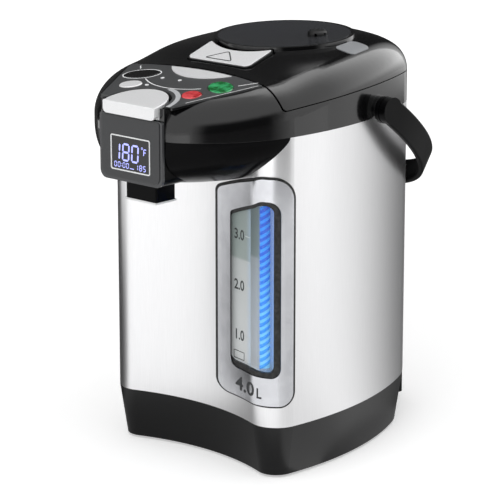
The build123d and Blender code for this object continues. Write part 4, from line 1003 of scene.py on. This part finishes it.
def sweep_material():
    """Matt white whose own glow grows with the distance from the pot, as the lamps fall off."""
    material = bpy.data.materials.new("white_sweep")
    tree = empty_tree(material)
    matt = add_node(tree, "ShaderNodeBsdfDiffuse", Color=linear("#E8E8E8"))
    spot = add_node(tree, "ShaderNodeTexCoord")
    distance = add_node(tree, "ShaderNodeVectorMath", {"operation": "LENGTH"},
                        _0=spot.outputs["Object"])
    glow = add_node(tree, "ShaderNodeMapRange", {"interpolation_type": "SMOOTHSTEP"},
                    Value=distance.outputs["Value"], From_Min=0.35, From_Max=1.6,
                    To_Min=SWEEP_GLOW, To_Max=FAR_GLOW)
    level = add_node(tree, "ShaderNodeMath", {"operation": "MULTIPLY"}, _0=glow.outputs[0],
                     _1=seen_directly(tree))
    lit = add_node(tree, "ShaderNodeEmission", Color=(1, 1, 1, 1), Strength=level.outputs[0])
    both = add_node(tree, "ShaderNodeAddShader", _0=matt.outputs[0], _1=lit.outputs[0])
    add_node(tree, "ShaderNodeOutputMaterial", Surface=both.outputs[0])
    return material


def make_floor():
    mesh = bpy.data.meshes.new("floor")
    corners = rectangle(-FLOOR_HALF, -FLOOR_HALF, 2 * FLOOR_HALF, 2 * FLOOR_HALF)
    mesh.from_pydata([(x, y, FLOOR_Z) for x, y in corners], [], [(0, 1, 2, 3)])
    floor = bpy.data.objects.new("floor", mesh)
    bpy.context.collection.objects.link(floor)
    mesh.materials.append(sweep_material())


def make_world():
    world = bpy.data.worlds.new("studio")
    bpy.context.scene.world = world
    tree = empty_tree(world)
    level = add_node(tree, "ShaderNodeMapRange", Value=seen_directly(tree), To_Min=SKY_LEVEL,
                     To_Max=1.0)
    sky = add_node(tree, "ShaderNodeBackground", Color=(1, 1, 1, 1), Strength=level.outputs[0])
    add_node(tree, "ShaderNodeOutputWorld", Surface=sky.outputs[0])


make_floor()
make_world()
bpy.context.scene.view_settings.view_transform = "Standard"
print("sweep and world ready, the sky lights the pot at", SKY_LEVEL)

# %% [markdown]
# Two large lamps, too soft to draw an edge, model the forms: one above, which lights the panel
# and lays the shadow, and one in front on the right. The gloss would mirror them as bright
# squares, so they are hidden from it.

# %% Lamps
LAMP_AIM = (0, 0, 0.2)


def softbox(name, spot, size, power):
    data = bpy.data.lights.new(name, "AREA")
    data.shape = "RECTANGLE"
    data.size, data.size_y = size
    data.energy = power
    lamp = bpy.data.objects.new(name, data)
    lamp.location = spot
    lamp.rotation_mode = "QUATERNION"
    lamp.rotation_quaternion = (Vector(LAMP_AIM) - Vector(spot)).to_track_quat("-Z", "Y")
    lamp.visible_glossy = False
    bpy.context.collection.objects.link(lamp)


softbox("top_softbox", (0.2, -0.3, 1.5), (1.2, 1.2), 8.5)
softbox("front_softbox", (0.9, -1.7, 0.9), (0.9, 1.2), 9)
print("lamps placed, both aim at", LAMP_AIM)

# %% [markdown]
# Steel and gloss live from what they mirror. So cards stand and lie round the pot, as in a
# product studio, seen in reflections only. A lit room picture could be mirrored instead, but
# cards can be set one by one. A card is stretched between two rows of points and has a
# brightness at each place along them. Towards its edges it fades to the white of the sky, so
# that no card draws a hard line on the gloss.

# %% Brightness of a card
def card_material(name, levels, fade_low, fade_high):
    """Brightness 1 + (level - 1) * fade, so an edge with fade 0 is as bright as the sky."""
    material = bpy.data.materials.new(name)
    tree = empty_tree(material)
    spot = add_node(tree, "ShaderNodeUVMap", {"uv_map": "card"})
    split = add_node(tree, "ShaderNodeSeparateXYZ", Vector=spot.outputs[0])
    peak = max(level for _, level in levels)
    stops = [(position, (level / peak,) * 3 + (1,)) for position, level in levels]
    shades = add_node(tree, "ShaderNodeValToRGB", stops=stops, Fac=split.outputs["X"])
    level = add_node(tree, "ShaderNodeMath", {"operation": "MULTIPLY_ADD"}, _0=shades.outputs[0],
                     _1=peak, _2=-1.0)
    for depth, outer, inner in ((fade_low, 0.0, fade_low), (fade_high, 1.0, 1.0 - fade_high)):
        if depth:
            fade = add_node(tree, "ShaderNodeMapRange", {"interpolation_type": "SMOOTHSTEP"},
                            Value=split.outputs["Y"], From_Min=outer, From_Max=inner)
            level = add_node(tree, "ShaderNodeMath", {"operation": "MULTIPLY"},
                             _0=level.outputs[0], _1=fade.outputs[0])
    level = add_node(tree, "ShaderNodeMath", {"operation": "ADD"}, _0=level.outputs[0], _1=1.0)
    flat = add_node(tree, "ShaderNodeEmission", Color=(1, 1, 1, 1), Strength=level.outputs[0])
    add_node(tree, "ShaderNodeOutputMaterial", Surface=flat.outputs[0])
    return material


print("a card's brightness is told against the sky's, which is 1")

# %% Cards that the gloss mirrors
STEPS = 48


def round_row(radius, height, start, end):
    """Points round the tank's axis, in metres. Azimuth 0 is before the pot, 90 at its right."""
    turns = [radians(start + (end - start) * i / STEPS) for i in range(STEPS + 1)]
    return [(radius * sin(turn), AXIS_Y - radius * cos(turn), height) for turn in turns]


def straight_row(x, height, front, back):
    return [(x, AXIS_Y + front + (back - front) * i / STEPS, height) for i in range(STEPS + 1)]


def card(name, low_row, high_row, levels, fade_low=0.0, fade_high=0.0):
    """levels: (share of the way along, brightness) pairs. Fades are shares of the height."""
    mesh = bpy.data.meshes.new(name)
    points = [point for pair in zip(low_row, high_row) for point in pair]
    faces = [(2 * i, 2 * i + 2, 2 * i + 3, 2 * i + 1) for i in range(STEPS)]
    mesh.from_pydata(points, [], faces)
    flat = mesh.uv_layers.new(name="card")
    places = [(j / STEPS, v) for i in range(STEPS)
              for j, v in ((i, 0), (i + 1, 0), (i + 1, 1), (i, 1))]
    for corner, spot in zip(flat.data, places):
        corner.uv = spot
    piece = bpy.data.objects.new(name, mesh)
    bpy.context.collection.objects.link(piece)
    mesh.materials.append(card_material(name, levels, fade_low, fade_high))
    piece.visible_camera = False
    piece.visible_diffuse = False
    piece.visible_transmission = False
    piece.visible_shadow = False


def by_share(shades):
    """(azimuth, brightness) pairs in order, as (share of the way along, brightness)."""
    start, end = shades[0][0], shades[-1][0]
    return [((azimuth - start) / (end - start), level) for azimuth, level in shades]


def round_card(name, low, high, shades, fade_low=0.0, fade_high=0.0):
    """A card between two (radius, height) rims, from the first azimuth to the last."""
    start, end = shades[0][0], shades[-1][0]
    card(name, round_row(*low, start, end), round_row(*high, start, end), by_share(shades),
         fade_low, fade_high)


print("a card is", STEPS, "faces long")

# %% [markdown]
# Behind the pot the brightness falls from white to nearly black. The brushed steel turns this
# into the soft grey that runs down its right side and edge. The same shades lie on the floor
# up to the pot, and a dark card above them keeps white edges off the back of the lid. Lying
# cards are called sheets. Sheets that would meet have heights of their own, some tenths of a
# millimetre above the floor, so that no two share a plane.

# %% Cards behind the pot
REAR_RADIUS = 0.36
OUTER_SHEET_Z = 0.0006
SIDE_SHEET_Z = 0.0005
BASE_SHEET_Z = 0.0004
REAR_SHADES = [(118, 1.03), (131, 0.95), (142, 0.76), (151, 0.57), (160, 0.4), (168, 0.24),
               (176, 0.12), (205, 0.1), (240, 0.5), (262, 1.0)]
round_card("rear_card", (REAR_RADIUS, 0.0), (REAR_RADIUS, 0.26), REAR_SHADES, 0.0, 0.22)
card("rear_sheet", round_row(0.11, OUTER_SHEET_Z, 84, 250),
     round_row(REAR_RADIUS, OUTER_SHEET_Z, 118, 262), by_share(REAR_SHADES))
round_card("dark_card_behind_the_lid", (0.355, 0.19), (0.355, 0.85),
           [(182, 1.0), (197, 0.02), (300, 0.02)], 0.0, 0.2)
print("cards behind the pot placed")

# %% [markdown]
# Close at the left stands a straight dark card. It draws the dark upright edge of the steel
# there. Its front part fades upwards, so that the left facet of the window's frame stays
# light. A dim sheet lies under the base, where a real table would be in the pot's own shade.

# %% Cards at the left and under the base
LEFT_X = -0.155
LEFT_FRONT, LEFT_JOIN, LEFT_BACK = -0.25, -0.14, 0.3
card("left_card_front", straight_row(LEFT_X, 0.0, LEFT_FRONT, LEFT_JOIN),
     straight_row(LEFT_X, 0.26, LEFT_FRONT, LEFT_JOIN),
     [(0.0, 1.0), (0.24, 0.8), (0.58, 0.3), (1.0, 0.06)], 0.0, 0.7)
card("left_card", straight_row(LEFT_X, 0.0, LEFT_JOIN, LEFT_BACK),
     straight_row(LEFT_X, 0.7, LEFT_JOIN, LEFT_BACK), [(0.0, 0.06), (1.0, 0.03)], 0.0, 0.2)
round_card("sheet_under_the_base", (0.04, BASE_SHEET_Z), (0.24, BASE_SHEET_Z),
           [(0, 0.25), (90, 0.45), (180, 0.2), (360, 0.25)], 0.0, 0.3)
print("cards at the left and under the base placed")

# %% [markdown]
# The underside of the nose and its right flank look far out over the floor, so a dark sheet
# and a dark card out there keep them black up to the crease. Near the pot the floor stays
# bright for the steel and the window's frame. High at the right stands the one card that is
# brighter than the sky: it lays the broad grey sheen on the flank of the head.

# %% Cards in front and at the right
NOSE_SHADES = [(28, 1.0), (40, 0.02), (92, 0.02), (114, 1.0)]
NOSE_CARD_RADIUS = 2.6
RIGHT_RADIUS = 0.8
round_card("dark_sheet_before_the_nose", (1.1, OUTER_SHEET_Z), (NOSE_CARD_RADIUS, OUTER_SHEET_Z),
           NOSE_SHADES, 0.06)
round_card("dark_card_before_the_nose", (NOSE_CARD_RADIUS, 0.0), (NOSE_CARD_RADIUS, 1.6),
           NOSE_SHADES, 0.0, 0.5)
round_card("side_sheet", (0.11, SIDE_SHEET_Z), (RIGHT_RADIUS, SIDE_SHEET_Z),
           [(46, 1.0), (70, 0.8), (92, 0.83), (108, 1.03), (118, 1.05)], 0.0, 0.15)
round_card("bright_right_card", (RIGHT_RADIUS, 0.2), (RIGHT_RADIUS, 3.6),
           [(100, 1.0), (126, 1.2), (145, 1.7), (160, 2.0), (176, 2.3), (205, 2.3), (245, 1.0)],
           0.05, 0.4)
print("cards in front and at the right placed")
